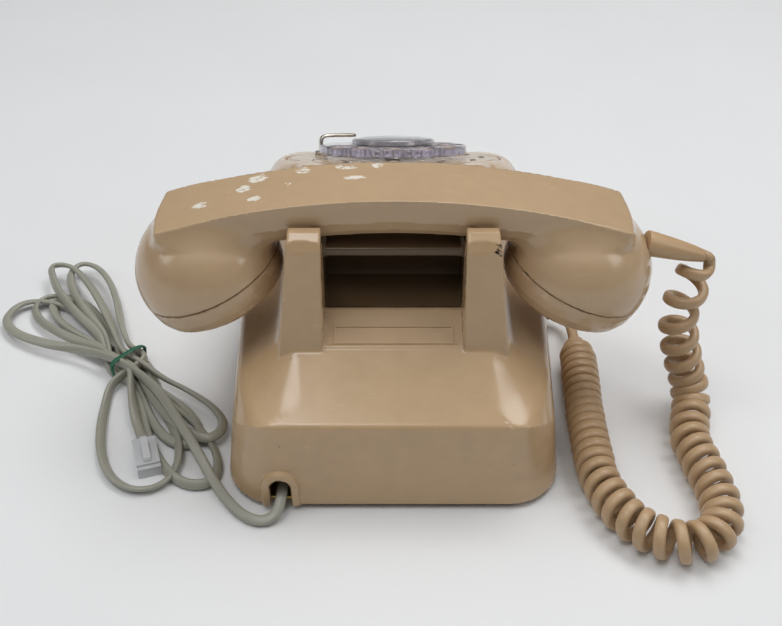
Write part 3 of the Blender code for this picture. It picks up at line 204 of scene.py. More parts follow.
def plasticMaterial(name, colour, gloss=0.22, mottle=0.05, specks=0.5, scratches=0.3, shift=0.0, coat=0.3,
                    bump=0.0002):
    material, tree, shader = startMaterial(name)
    height = useLook(tree, shader, agedPlastic, {"Colour": colour, "Mottle": mottle, "Specks": specks,
                                                 "Scratches": scratches, "Gloss": gloss, "Shift": shift})
    useBump(tree, shader, height, 0.12, bump)
    shader.inputs["Coat Weight"].default_value = coat
    shader.inputs["Coat Roughness"].default_value = 0.12
    shader.inputs["IOR"].default_value = 1.5
    return material


beige = linear(193, 165, 131)


def paintRecessShade(material, centre, size, colour):
    # painted shade: a recess darkened towards its inside, fading out at its mouth
    tree = material.node_tree
    shader = tree.nodes["Principled BSDF"]
    before = shader.inputs["Base Color"].links[0].from_socket
    place = ownPlace(tree)
    away = vectorCalc(tree, "SUBTRACT", place, centre)
    shrunk = vectorCalc(tree, "MULTIPLY", away, tuple(1 / s for s in size))
    shrunk = vectorCalc(tree, "ABSOLUTE", shrunk)
    parts = addNode(tree, "ShaderNodeSeparateXYZ", {"Vector": shrunk})
    most = calc(tree, "MAXIMUM", calc(tree, "MAXIMUM", parts.outputs[0], parts.outputs[1]), parts.outputs[2])
    cloud = noiseOn(tree, place, 90.0, 3.0)
    mask = spread(tree, calc(tree, "ADD", most, calc(tree, "MULTIPLY", cloud, 0.12)), 0.86, 1.06, 0.86, 0.0)
    tree.links.new(tint(tree, mask, before, colour), shader.inputs["Base Color"])
    return material


def makeScuffed(material, scuffs, colour=linear(236, 230, 218), hard=0.86):
    # rubbed marks at set places on one moulding, broken up by stretched noise
    tree = material.node_tree
    shader = tree.nodes["Principled BSDF"]
    before = shader.inputs["Base Color"].links[0].from_socket
    place = ownPlace(tree)
    total = 0.0
    for centre, size in scuffs:
        away = vectorCalc(tree, "SUBTRACT", place, centre)
        shrunk = vectorCalc(tree, "MULTIPLY", away, tuple(1 / s for s in size))
        reach = addNode(tree, "ShaderNodeVectorMath", {0: shrunk}, operation="LENGTH").outputs["Value"]
        total = calc(tree, "MAXIMUM", total, spread(tree, reach, 0.4, 1.0, 1.0, 0.0))
    stretched = addNode(tree, "ShaderNodeMapping", {"Vector": place, "Scale": (0.55, 1.7, 1.0)}).outputs[0]
    broken = noiseOn(tree, stretched, 420.0, 5.0, Roughness=0.65)
    mask = spread(tree, calc(tree, "ADD", calc(tree, "MULTIPLY", total, 0.42), broken), hard, hard + 0.04)
    mask = calc(tree, "MULTIPLY", mask, spread(tree, total, 0.02, 0.2))
    tree.links.new(tint(tree, mask, before, colour), shader.inputs["Base Color"])
    return material


# ---- shapes from distance fields

def roundMax(first, second, radius):
    corner = np.hypot(np.maximum(first + radius, 0), np.maximum(second + radius, 0))
    return np.minimum(np.maximum(first, second), -radius) + corner


def roundMin(first, second, radius):
    return -roundMax(-first, -second, radius)


def outlineDistance(outline, across, up):
    # signed distance to a closed outline, negative inside
    nearest = np.full(np.broadcast(across, up).shape, 1e9)
    inside = np.zeros(nearest.shape, bool)
    for (startA, startB), (stopA, stopB) in zip(outline, outline[1:] + outline[:1]):
        edgeA, edgeB = stopA - startA, stopB - startB
        fromA, fromB = across - startA, up - startB
        share = np.clip((fromA * edgeA + fromB * edgeB) / (edgeA ** 2 + edgeB ** 2), 0, 1)
        nearest = np.minimum(nearest, (fromA - share * edgeA) ** 2 + (fromB - share * edgeB) ** 2)
        if edgeB != 0:
            crosses = ((startB > up) != (stopB > up)) & (across < edgeA * (up - startB) / edgeB + startA)
            inside = inside ^ crosses
    return np.where(inside, -1.0, 1.0) * np.sqrt(nearest)


def smoothTable(rows, width):
    # a table of (place, value) rows read as one smooth curve
    places = np.linspace(-0.02, 0.16, 721)
    values = np.interp(places, [row[0] for row in rows], [row[1] for row in rows])
    reach = max(1, int(3 * width / 0.00025))
    weights = np.exp(-0.5 * (np.arange(-reach, reach + 1) * 0.00025 / width) ** 2)
    padded = np.pad(values, reach, mode="edge")
    values = np.convolve(padded, weights / weights.sum(), mode="valid")
    return lambda place: np.interp(place, places, values)


def shapeFromField(name, field, low, high, cell, merge=0.0, settle=3, place=None):
    # the surface where the field is zero, its points moved exactly onto it and its normals read from it
    axes = [np.arange(a - 2.5 * cell, b + 3.5 * cell, cell) for a, b in zip(low, high)]
    x, y, z = axes[0][:, None, None], axes[1][None, :, None], axes[2][None, None, :]
    values = np.broadcast_to(field(x, y, z), [len(axis) for axis in axes]) / cell
    grid = openvdb.FloatGrid(6.0)
    grid.copyFromArray(np.ascontiguousarray(np.clip(values, -6, 6), dtype=np.float32))
    points, triangles, quads = grid.convertToPolygons(0.0, merge)
    points = points.astype(float) * cell + [axis[0] for axis in axes]

    def read(spots):
        return field(spots[:, 0], spots[:, 1], spots[:, 2])

    def slopeAt(spots):
        step = 0.00006
        parts = []
        for axis in range(3):
            shift = np.zeros(3)
            shift[axis] = step
            parts.append((read(spots + shift) - read(spots - shift)) / (2 * step))
        return np.stack(parts, axis=1)

    for _ in range(settle):
        slope = slopeAt(points)
        size = np.maximum((slope ** 2).sum(axis=1), 0.09)
        move = -(read(points) / size)[:, None] * slope
        length = np.linalg.norm(move, axis=1)
        points += move * np.minimum(1.0, 0.6 * cell / np.maximum(length, 1e-9))[:, None]
    slope = slopeAt(points)
    normals = slope / np.maximum(np.linalg.norm(slope, axis=1), 1e-9)[:, None]
    if place is not None:
        spin = np.array(place.to_3x3())
        points = points @ spin.T + np.array(place.translation)
        normals = normals @ spin.T
    faces = [tuple(face) for face in triangles] + [tuple(face) for face in quads]
    mesh = bpy.data.meshes.new(name)
    mesh.from_pydata(points.tolist(), [], faces)
    first = mesh.polygons[len(mesh.polygons) // 2]
    corners = points[list(first.vertices)]
    facing = np.cross(corners[1] - corners[0], corners[2] - corners[0])
    if np.dot(facing, normals[first.vertices[0]]) < 0:
        mesh.flip_normals()
    mesh.shade_smooth()
    mesh.normals_split_custom_set_from_vertices(normals.tolist())
    piece = bpy.data.objects.new(name, mesh)
    bpy.context.scene.collection.objects.link(piece)
    return piece


def cellSize(fine):
    return fine


def dress(piece, material, body, *replaced):
    piece.data.materials.clear()
    piece.data.materials.append(material)
    if body:
        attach(piece, body)
    if replaced:
        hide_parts(*replaced)
    return piece


# ---- lines that cords follow

def lengthAlong(line):
    return np.concatenate([[0], np.cumsum(np.linalg.norm(np.diff(line, axis=0), axis=1))])


def pointsAt(line, reach, places):
    return np.stack([np.interp(places, reach, line[:, axis]) for axis in range(3)], axis=1)


def smoothLine(points, count):
    # a centripetal curve through the points, read at even spacing
    points = [Vector(p) for p in points]
    ends = [points[0] * 2 - points[1]] + points + [points[-1] * 2 - points[-2]]
    fine = []
    for a, b, c, d in zip(ends, ends[1:], ends[2:], ends[3:]):
        t0, t1 = 0.0, max((b - a).length, 1e-6) ** 0.5
        t2 = t1 + max((c - b).length, 1e-6) ** 0.5
        t3 = t2 + max((d - c).length, 1e-6) ** 0.5
        for i in range(24):
            t = t1 + (t2 - t1) * i / 24
            ab = a * ((t1 - t) / (t1 - t0)) + b * ((t - t0) / (t1 - t0))
            bc = b * ((t2 - t) / (t2 - t1)) + c * ((t - t1) / (t2 - t1))
            cd = c * ((t3 - t) / (t3 - t2)) + d * ((t - t2) / (t3 - t2))
            abc = ab * ((t2 - t) / (t2 - t0)) + bc * ((t - t0) / (t2 - t0))
            bcd = bc * ((t3 - t) / (t3 - t1)) + cd * ((t - t1) / (t3 - t1))
            fine.append(abc * ((t2 - t) / (t2 - t1)) + bcd * ((t - t1) / (t2 - t1)))
    fine.append(points[-1])
    line = np.array(fine)
    reach = lengthAlong(line)
    even = np.linspace(0, reach[-1], count)
    return pointsAt(line, reach, even), reach[-1]


def softened(line, passes):
    line = line.copy()
    for _ in range(passes):
        line[1:-1] = 0.25 * line[:-2] + 0.5 * line[1:-1] + 0.25 * line[2:]
    return line


def unit(vectors):
    return vectors / np.maximum(np.linalg.norm(vectors, axis=-1, keepdims=True), 1e-12)


def sweep(name, line, wide, profile, scale=None):
    # a closed skin: the profile's (across, up) points at each point of the line
    # wide gives the across direction at each point
    ahead = unit(np.gradient(line, axis=0))
    side = unit(wide - (wide * ahead).sum(axis=1, keepdims=True) * ahead)
    up = np.cross(ahead, side)
    size = np.ones(len(line)) if scale is None else scale
    rings = [line + side * (a * size)[:, None] + up * (b * size)[:, None] for a, b in profile]
    points = np.stack(rings, axis=1).reshape(-1, 3)
    around = len(profile)
    faces = []
    for i in range(len(line) - 1):
        for j in range(around):
            k = (j + 1) % around
            faces.append((i * around + j, i * around + k, (i + 1) * around + k, (i + 1) * around + j))
    faces.append(tuple(range(around))[::-1])
    faces.append(tuple(range((len(line) - 1) * around, len(line) * around)))
    mesh = bpy.data.meshes.new(name)
    mesh.from_pydata(points.tolist(), [], faces)
    mesh.update()
    bm = bmesh.new()
    bm.from_mesh(mesh)
    bmesh.ops.recalc_face_normals(bm, faces=bm.faces)
    bm.to_mesh(mesh)
    bm.free()
    mesh.shade_smooth()
    reach = lengthAlong(line)
    along = mesh.attributes.new("along", "FLOAT", "POINT")
    along.data.foreach_set("value", np.repeat(reach, around).astype(np.float32))
    piece = bpy.data.objects.new(name, mesh)
    bpy.context.scene.collection.objects.link(piece)
    return piece


def evenPoints(line, count):
    reach = lengthAlong(line)
    even = np.linspace(0, reach[-1], count)
    return [tuple(p) for p in pointsAt(line, reach, even)]


def lineLength(line):
    return float(np.linalg.norm(np.diff(line, axis=0), axis=1).sum())


# ---- curly handset cord

curlyCord = {
    "base": "telephone_base", "top": "handset",
    "bootFrom": (-0.1130, 0.0450, 0.0985), "bootTo": (-0.1405, 0.0450, 0.0912),
    "middle": [(-0.1385, 0.0450, 0.0800), (-0.1360, 0.0450, 0.0700), (-0.1345, 0.0450, 0.0590),
               (-0.1370, 0.0450, 0.0440), (-0.1410, 0.0455, 0.0300), (-0.1455, 0.0480, 0.0170),
               (-0.1460, 0.0560, 0.0096), (-0.1435, 0.0660, 0.0088), (-0.1405, 0.0790, 0.0088),
               (-0.1420, 0.0920, 0.0088), (-0.1440, 0.1060, 0.0088), (-0.1450, 0.1180, 0.0088),
               (-0.1430, 0.1310, 0.0088), (-0.1350, 0.1400, 0.0088), (-0.1240, 0.1420, 0.0088),
               (-0.1130, 0.1380, 0.0088), (-0.1040, 0.1300, 0.0088), (-0.0975, 0.1180, 0.0088),
               (-0.0935, 0.1040, 0.0088), (-0.0930, 0.0900, 0.0088), (-0.0930, 0.0740, 0.0088),
               (-0.0935, 0.0570, 0.0088), (-0.0945, 0.0400, 0.0088), (-0.0955, 0.0230, 0.0088),
               (-0.0955, 0.0060, 0.0090)],
    "tail": [(-0.0953, -0.0060, 0.0093), (-0.0940, -0.0135, 0.0094), (-0.0915, -0.0185, 0.0095),
             (-0.0890, -0.0200, 0.0095), (-0.0866, -0.0200, 0.0095)],
    "coilRadius": 0.0072, "strandWide": 0.0054, "strandThick": 0.0044, "lowest": 0.0097,
    "pitch": [(0.000, 0.0150), (0.045, 0.0125), (0.075, 0.0088), (0.100, 0.0078), (0.165, 0.0078),
              (0.185, 0.0086),
              (0.225, 0.0082), (0.250, 0.0064), (0.275, 0.0058), (0.345, 0.0058), (0.365, 0.0100)],
}


def flatRound(wide, thick, count):
    # a rounded strand: an ellipse with flattened faces
    turns = [2 * math.pi * i / count for i in range(count)]
    return [(wide / 2 * math.copysign(abs(math.cos(a)) ** 0.75, math.cos(a)),
             thick / 2 * math.copysign(abs(math.sin(a)) ** 0.75, math.sin(a))) for a in turns]


def makeCurlyCord(cord):
    start, stop = Vector(cord["bootFrom"]), Vector(cord["bootTo"])
    ahead = (stop - start).normalized()
    route = [tuple(stop), tuple(stop + ahead * 0.0035)] + cord["middle"] + cord["tail"]
    line, total = smoothLine(route, 1500)
    line = softened(line, 60)
    line[:, 2] = np.where(line[:, 0] < -0.0920, np.maximum(line[:, 2], cord["lowest"]), line[:, 2])
    line = softened(line, 20)
    reach = np.linspace(0, total, len(line))
    coilEnd = total - lineLength(smoothLine([cord["middle"][-1]] + cord["tail"], 60)[0])
    pitch = np.interp(reach, [row[0] for row in cord["pitch"]], [row[1] for row in cord["pitch"]])
    loosen = 1 + 0.22 * np.array([noise.noise((s * 55, 3.1, 0.7)) for s in reach])
    angle = np.concatenate([[0], np.cumsum(2 * math.pi / (pitch * loosen)[1:] * np.diff(reach))])
    swell = np.clip((reach - 0.004) / 0.012, 0, 1) * np.clip((coilEnd + 0.004 - reach) / 0.018, 0, 1)
    swell = swell * swell * (3 - 2 * swell)
    count = int(angle[-1] / (2 * math.pi) * 26)
    sample = np.linspace(0, angle[-1], count)
    at = np.interp(sample, angle, reach)
    centre = pointsAt(line, reach, at)
    along = unit(np.gradient(centre, axis=0))
    side = np.zeros_like(centre)
    side[0] = unit(np.cross(along[0], (0, 1, 0)))
    for i in range(1, count):
        side[i] = side[i - 1] - along[i] * np.dot(side[i - 1], along[i])
        side[i] /= np.linalg.norm(side[i])
    other = np.cross(along, side)
    radius = cord["coilRadius"] * np.interp(at, reach, swell)
    wobble = 1 + 0.05 * np.array([noise.noise((s * 90, 8.3, 2.2)) for s in at])
    radius = radius * wobble
    outward = side * np.cos(sample)[:, None] + other * np.sin(sample)[:, None]
    strand = centre + outward * radius[:, None]
    lift = np.maximum(0, 0.0022 - strand[:, 2])
    strand[:, 2] += lift
    piece = sweep("curlyHandsetCord", strand, along + outward * 1e-6,
                  flatRound(cord["strandWide"], cord["strandThick"], 14))
    path = evenPoints(strand, int(angle[-1] / (2 * math.pi) * 13))
    print("curly cord", round(lineLength(strand), 3), "m,", round(angle[-1] / (2 * math.pi)), "turns")
    return piece, path, lineLength(np.array(path))


curlyPiece, curlyPath, curlyLength = makeCurlyCord(curlyCord)
cordPlastic = plasticMaterial("cordJacket", linear(186, 156, 120), gloss=0.34, mottle=0.05, specks=0.2,
                              scratches=0.1,
                              shift=0.3, coat=0.1)
dress(curlyPiece, cordPlastic, None, "handset_cord", "handset_cord_tail")


# ---- flat line cord with its tied hank

lineCord = {
    "wide": 0.0050, "thick": 0.0027,
    "tie": (0.1370, 0.0200), "tieTurn": -42, "tieSkew": 0.12, "grip": 0.006,
    "run": [(0.0490, 0.1030, 0.0100), (0.0500, 0.1110, 0.0098), (0.0506, 0.1180, 0.0068),
            (0.0530, 0.1225, 0.0036),
            (0.0585, 0.1245, 0.0028), (0.0660, 0.1215, 0.0027), (0.0745, 0.1130, 0.0027),
            (0.0830, 0.1010, 0.0045),
            (0.0925, 0.0860, 0.0095), (0.1040, 0.0680, 0.0125), (0.1170, 0.0480, 0.0132)],
    # far loops: tip, half width, height at the tip, sideways lean
    "far": [((0.2080, -0.0340), 0.0160, 0.0040, 0.004), ((0.1985, -0.0625), 0.0080, 0.0095, -0.004),
            ((0.1960, -0.0400), 0.0120, 0.0042, 0.002), ((0.1825, -0.0680), 0.0100, 0.0075, 0.000),
            ((0.1880, -0.0400), 0.0090, 0.0030, 0.001)],
    # near loops, towards the telephone
    "near": [((0.0840, 0.1010), 0.0125, 0.0030, -0.002), ((0.0870, 0.0760), 0.0100, 0.0060, 0.004),
             ((0.0960, 0.0760), 0.0090, 0.0030, 0.000)],
    "loose": [(0.1430, 0.0340, 0.0050), (0.1440, 0.0470, 0.0028), (0.1430, 0.0620, 0.0028),
              (0.1395, 0.0800, 0.0028),
              (0.1320, 0.0960, 0.0028), (0.1200, 0.1050, 0.0028), (0.1080, 0.1030, 0.0028),
              (0.1020, 0.0920, 0.0028),
              (0.1035, 0.0740, 0.0040), (0.1130, 0.0560, 0.0056), (0.1230, 0.0400, 0.0065)],
    "lead": [(0.1325, 0.0360, 0.0110), (0.1310, 0.0440, 0.0085), (0.1285, 0.0540, 0.0056),
             (0.1250, 0.0640, 0.0040),
             (0.1212, 0.0720, 0.0036), (0.1185, 0.0790, 0.0035)],
    # how far along a loop and how much of its half width
    "flank": [(0.30, 0.50), (0.55, 0.90), (0.80, 1.0), (0.95, 0.62)],
    # sideways place and height of each strand under the tie
    "slots": [(0.0056, 0.0108), (-0.0078, 0.0027), (0.0078, 0.0027), (-0.0026, 0.0082), (0.0026, 0.0082),
              (-0.0052, 0.0027), (0.0052, 0.0027), (-0.0078, 0.0082), (0.0000, 0.0027), (0.0052, 0.0084),
              (-0.0026, 0.0030)],
}


def makeLineCord(cord):
    tie = np.array(cord["tie"])
    turn = math.radians(cord["tieTurn"])
    away = np.array([math.cos(turn + cord["tieSkew"]), math.sin(turn + cord["tieSkew"])])
    across = np.array([-away[1], away[0]])

    def slotPoint(index, shift):
        offset, height = cord["slots"][index]
        spot = tie + across * offset + away * shift
        return (spot[0], spot[1], height)

    def lobe(tip, half, rise, lean, first, second):
        # out along one side, round the tip and back along the other
        tip = np.array(tip)
        reach = tip - tie
        axis = reach / np.linalg.norm(reach)
        side = np.array([-axis[1], axis[0]])
        leave, back = cord["slots"][first], cord["slots"][second]
        turnSide = 1 if leave[0] >= back[0] else -1
        if np.dot(across, side) < 0:
            turnSide = -turnSide

        def flank(start, way):
            points = []
            for share, width in cord["flank"]:
                height = start + (rise - start) * share ** 0.7
                spot = tie + reach * share + side * (way * half * width * turnSide + lean * share)
                points.append((spot[0], spot[1], height))
            return points

        return flank(leave[1], 1) + [(tip[0], tip[1], rise)] + flank(back[1], -1)[::-1]

    def gripped(index, way):
        return [slotPoint(index, way * cord["grip"]), slotPoint(index, -way * cord["grip"])]

    route = list(cord["run"])
    route += gripped(0, -1)
    slot = 0
    for turnIndex, farLoop in enumerate(cord["far"]):
        route += lobe(*farLoop, slot, slot + 1) + gripped(slot + 1, 1)
        slot += 1
        if turnIndex < len(cord["near"]):
            route += lobe(*cord["near"][turnIndex], slot, slot + 1) + gripped(slot + 1, -1)
            slot += 1
        elif turnIndex == len(cord["near"]):
            route += cord["loose"] + gripped(slot + 1, -1)
            slot += 1
    route += cord["lead"]
    line, total = smoothLine(route, 1400)
    line = softened(line, 14)
    line[:, 2] = np.maximum(line[:, 2], cord["wide"] / 2 + 0.0001)
    ahead = unit(np.gradient(line, axis=0))
    flat = unit(np.cross(ahead, (0, 0, 1)))
    reach = np.linspace(0, total, len(line))
    fromTie = np.linalg.norm(line[:, :2] - tie, axis=1)
    opened = np.clip((fromTie - 0.014) / 0.030, 0, 1)
    lean = 1.35 - 0.70 * opened + 0.60 * opened * np.array([noise.noise((s * 14, 1.7, 5.2)) for s in reach])
    lean = lean * np.clip((reach - 0.008) / 0.030, 0, 1) * np.clip((total - 0.004 - reach) / 0.030, 0, 1)
    wide = flat * np.cos(lean)[:, None] + np.array([0, 0, 1.0]) * np.sin(lean)[:, None]
    ring = flatRound(cord["wide"], cord["thick"], 12)
    piece = sweep("flatLineCord", line, wide, ring)
    print("line cord", round(lineLength(line), 3), "m")
    return piece, evenPoints(line, 460)


linePiece, linePath = makeLineCord(lineCord)
greyJacket = plasticMaterial("greyJacket", linear(158, 157, 144), gloss=0.34, mottle=0.04, specks=0.15,
                             scratches=0.15,
                             shift=0.8, coat=0.15)
dress(linePiece, greyJacket, "telephone_base", "line_cord", "line_cord_hank", "line_cord_loop", "plug_lead")


def makeTie(cord):
    # a flat tie drawn round the bundle in a squarish loop
    turn = math.radians(cord["tieTurn"])
    away = Vector((math.cos(turn + cord["tieSkew"]), math.sin(turn + cord["tieSkew"]), 0))
    across = Vector((-away.y, away.x, 0))
    middle = Vector((*cord["tie"], 0))
    halfWide, low, high, sway = 0.0112, 0.0009, 0.0132, 0.0022
    squareness, steps = 0.6, 40
    loop = []
    for i in range(steps):
        a = 2 * math.pi * i / steps
        x = halfWide * math.copysign(abs(math.cos(a)) ** squareness, math.cos(a))
        z = (low + high) / 2 + (high - low) / 2 * math.copysign(abs(math.sin(a)) ** squareness, math.sin(a))
        swayed = away * (sway * math.sin(a) * math.cos(a))
        loop.append(tuple(middle + across * x + swayed + Vector((0, 0, z))))
    line = np.array(loop + loop[:2])
    wide = np.tile(np.array(away), (len(line), 1))
    return sweep("twistTie", line, wide, flatRound(0.0026, 0.0009, 10))


tiePiece = makeTie(lineCord)
tieGreen = plasticMaterial("tiePlastic", linear(18, 92, 64), gloss=0.4, mottle=0.05, specks=0.0,
                           scratches=0.1, coat=0.1)
dress(tiePiece, tieGreen, "telephone_base", "cord_tie")
print("cords made")


# ---- handset

handset = {
    "middleY": 0.045, "top": 0.1305, "archRadius": 0.339, "halfWidth": 0.0165, "endWiden": 0.0010,
    "thick": 0.0205,
    "reach": 0.1045, "cupX": 0.083, "cupZ": 0.085, "cupTilt": 22, "cupRadius": 0.0337, "cupHeight": 0.0315,
    "cupCut": 0.039, "flow": 0.0075, "unitRadius": 0.0284, "unitDepth": 0.0130, "seam": 0.00035,
    "capDepth": 0.0160,
}


def cupAxes(size, side):
    tilt = math.radians(size["cupTilt"])
    centre = np.array([side * size["cupX"], size["middleY"], size["cupZ"]])
    up = np.array([side * math.sin(tilt), 0.0, math.cos(tilt)])
    return centre, up


def cupReach(size, side, x, y, z):
    # distance out from a cup's own axis, and height along it from the seam
    centre, up = cupAxes(size, side)
    dx, dy, dz = x - centre[0], y - centre[1], z - centre[2]
    height = dx * up[0] + dz * up[2]
    out = np.sqrt(np.maximum(dx * dx + dy * dy + dz * dz - height * height, 0))
    return out, height


def handsetField(x, y, z):
    size = handset
    centreZ = size["top"] - size["archRadius"]
    across = np.abs(y - size["middleY"])
    depth = size["archRadius"] - np.sqrt(x * x + (z - centreZ) ** 2)
    along = size["archRadius"] * np.arctan2(np.abs(x), z - centreZ)
    half = size["halfWidth"] + size["endWiden"] * (along / size["reach"]) ** 2
    thin = np.clip((along - 0.070) / 0.035, 0, 1)
    thick = size["thick"] * (1 - 0.62 * thin * thin)
    broad = across / half * size["halfWidth"]
    drop = depth / thick * size["thick"]
    outline = [(-0.0300, 0.0), (0.0165, 0.0), (0.0161, 0.0110), (0.0143, 0.0158), (0.0118, 0.0192),
               (0.0090, 0.0205),
               (-0.0300, 0.0205)]
    bar = outlineDistance(outline, broad, drop)
    bar = roundMax(bar, along - size["reach"], 0.0016)
    shape = bar
    for side in (1, -1):
        out, height = cupReach(size, side, x, y, z)
        radius, tall = size["cupRadius"], size["cupHeight"]
        oval = np.sqrt((out / radius) ** 2 + ((height - 0.0015) / tall) ** 2)
        bowl = (oval - 1) * tall * np.clip(oval, 0.35, 1.0)
        bowl = roundMax(bowl, -height, 0.0005)
        shape = roundMin(shape, bowl, size["flow"])
    shape = roundMax(shape, -depth, 0.0007)
    for side in (1, -1):
        out, height = cupReach(size, side, x, y, z)
        shape = np.maximum(shape, -np.maximum(height, out - size["cupCut"]))  # open below the seam
        hollow = roundMax(out - size["unitRadius"], height - size["unitDepth"], 0.002)
        shape = roundMax(shape, -hollow, 0.0005)
    start, stop = np.array(curlyCord["bootFrom"]), np.array(curlyCord["bootTo"])
    run = stop - start
    share = ((x - start[0]) * run[0] + (y - start[1]) * run[1] + (z - start[2]) * run[2]) / (run ** 2).sum()
    alongX, alongZ = start[0] + share * run[0], start[2] + share * run[2]
    away = np.sqrt((x - alongX) ** 2 + (y - start[1]) ** 2 + (z - alongZ) ** 2)
    socket = np.maximum(away - 0.0062, -(share + 0.03) * 0.028)
    return roundMax(shape, -socket, 0.0004)


def makeHandset(size):
    low = (-0.1195, size["middleY"] - 0.0345, 0.069)
    high = (0.1195, size["middleY"] + 0.0345, 0.1310)
    piece = shapeFromField("handsetBody", handsetField, low, high, cellSize(0.0009), 0.004)
    scuffs = [((0.060, 0.034, 0.1255), (0.008, 0.006, 0.006)),
              ((0.066, 0.041, 0.1240), (0.007, 0.005, 0.006)),
              ((0.060, 0.051, 0.1250), (0.006, 0.004, 0.006)),
              ((0.040, 0.032, 0.1280), (0.006, 0.005, 0.006)),
              ((0.046, 0.042, 0.1270), (0.003, 0.003, 0.005)),
              ((0.021, 0.032, 0.1295), (0.009, 0.004, 0.006)),
              ((0.017, 0.041, 0.1300), (0.010, 0.003, 0.005)),
              ((0.007, 0.031, 0.1300), (0.005, 0.004, 0.006)),
              ((0.084, 0.048, 0.1200), (0.007, 0.005, 0.006))]
    plastic = makeScuffed(plasticMaterial("handsetPlastic", beige, gloss=0.17, mottle=0.035, specks=0.7,
                                          scratches=0.5, shift=0.1), scuffs)
    dress(piece, plastic, "handset", "handset_handle")


makeHandset(handset)
print("handset made")


def capField(size, side, holes):
    outline = [(-0.04, -size["capDepth"]), (0.0205, -size["capDepth"]), (0.0270, -0.0148), (0.0306, -0.0120),
               (0.0325, -0.0080), (0.0333, -0.0040), (0.0336, -size["seam"]), (0.0300, -size["seam"]),
               (0.0298, -0.0090), (0.0262, -0.0118), (0.0200, -0.0130), (-0.04, -0.0128)]
    centre, up = cupAxes(size, side)
    right = np.array([up[2], 0.0, -up[0]])

    def field(x, y, z):
        out, height = cupReach(size, side, x, y, z)
        shell = outlineDistance(outline, out, height)
        u = (x - centre[0]) * right[0] + (z - centre[2]) * right[2]
        v = y - centre[1]
        drilled = shell
        for holeU, holeV, radius in holes:
            hole = np.sqrt((u - holeU) ** 2 + (v - holeV) ** 2) - radius
            drilled = roundMax(drilled, -hole, 0.0003)
        return drilled
    return field


def holeRings(rows):
    holes = []
    for ring, count, radius in rows:
        for i in range(count):
            turn = 2 * math.pi * i / count
            holes.append((ring * math.cos(turn), ring * math.sin(turn), radius))
    return holes


caps = [
    {"name": "receiverCap", "node": "receiver_cap", "side": 1,
     "holes": [(0.0, 1, 0.0012), (0.0050, 6, 0.0012)]},
    {"name": "transmitterCap", "node": "transmitter_cap", "side": -1,
     "holes": [(0.0, 1, 0.0010), (0.0050, 6, 0.0010), (0.0100, 12, 0.0010), (0.0150, 18, 0.0010)]},
]


def makeCaps(rows):
    for row in rows:
        centre, up = cupAxes(handset, row["side"])
        face = centre - up * 0.008
        field = capField(handset, row["side"], holeRings(row["holes"]))
        low = face - [0.0355, 0.0350, 0.0205]
        high = face + [0.0355, 0.0350, 0.0205]
        piece = shapeFromField(row["name"], field, low, high, cellSize(0.0009), 0.004)
        plastic = plasticMaterial(row["name"] + "Plastic", beige, gloss=0.20, mottle=0.04, specks=0.6,
                                  scratches=0.4,
                                  shift=0.2 + row["side"])
        dress(piece, plastic, row["node"] + "_body", row["node"])


makeCaps(caps)
print("caps made")


# ---- housing

housing = {
    "depth": 0.232, "width": 0.170, "narrowing": 0.0105, "top": 0.104, "skirt": 0.003, "wall": 0.0028,
    "wallTop": 0.049, "draft": 0.0033, "deck": 0.064, "deckY": 0.0796, "slope": 27, "lip": 0.0012,
    "dialTilt": 26, "dialY": -0.056, "dialZ": 0.0847, "ridge": 0.111, "postInner": 0.031, "postOuter": 0.051,
    "postTop": 0.1185, "notchX": 0.0505, "notchRadius": 0.0048, "notchSpring": 0.0145,
    "lipRadius": 0.0085, "bossRadius": 0.0042, "dialSeat": 0.0564, "dialBore": 0.053,
    "wellX": 0.0385, "wellRadius": 0.0034, "bushingY": -0.020, "bushingZ": 0.0095, "bushingRadius": 0.0048,
}
sideDialEnd = smoothTable([(0.003, 0), (0.030, 0.13), (0.049, 0.27), (0.060, 0.40), (0.074, 0.576),
                           (0.0847, 0.68),
                           (0.094, 0.82), (0.104, 1.0), (0.12, 1.05)], 0.003)
sideCradleEnd = smoothTable([(0.003, 0), (0.034, 0.12), (0.0490, 0.205), (0.0515, 0.30), (0.058, 0.60),
                             (0.0635, 0.81),
                             (0.072, 0.88), (0.084, 0.94), (0.104, 1.0), (0.12, 1.0)], 0.0016)
frontCorner = smoothTable([(0.044, 0.028), (0.052, 0.026), (0.060, 0.020), (0.066, 0.014), (0.074, 0.009),
                           (0.0847, 0.006), (0.104, 0.006)], 0.002)
rearCorner = smoothTable([(0.030, 0.022), (0.044, 0.020), (0.049, 0.018), (0.056, 0.012), (0.064, 0.007),
                          (0.104, 0.006)], 0.0016)


def bodySides(y, z):
    size = housing
    run = np.clip((y + 0.06) / 0.176, 0, 1)
    foot = size["width"] / 2 - size["narrowing"] * run ** 1.4
    share = np.clip((y + 0.03) / 0.045, 0, 1)
    share = share * share * (3 - 2 * share)
    dialEnd = foot + (0.052 - foot) * sideDialEnd(z)
    cradleEnd = foot + (0.0455 - foot) * sideCradleEnd(z)
    return dialEnd * (1 - share) + cradleEnd * share


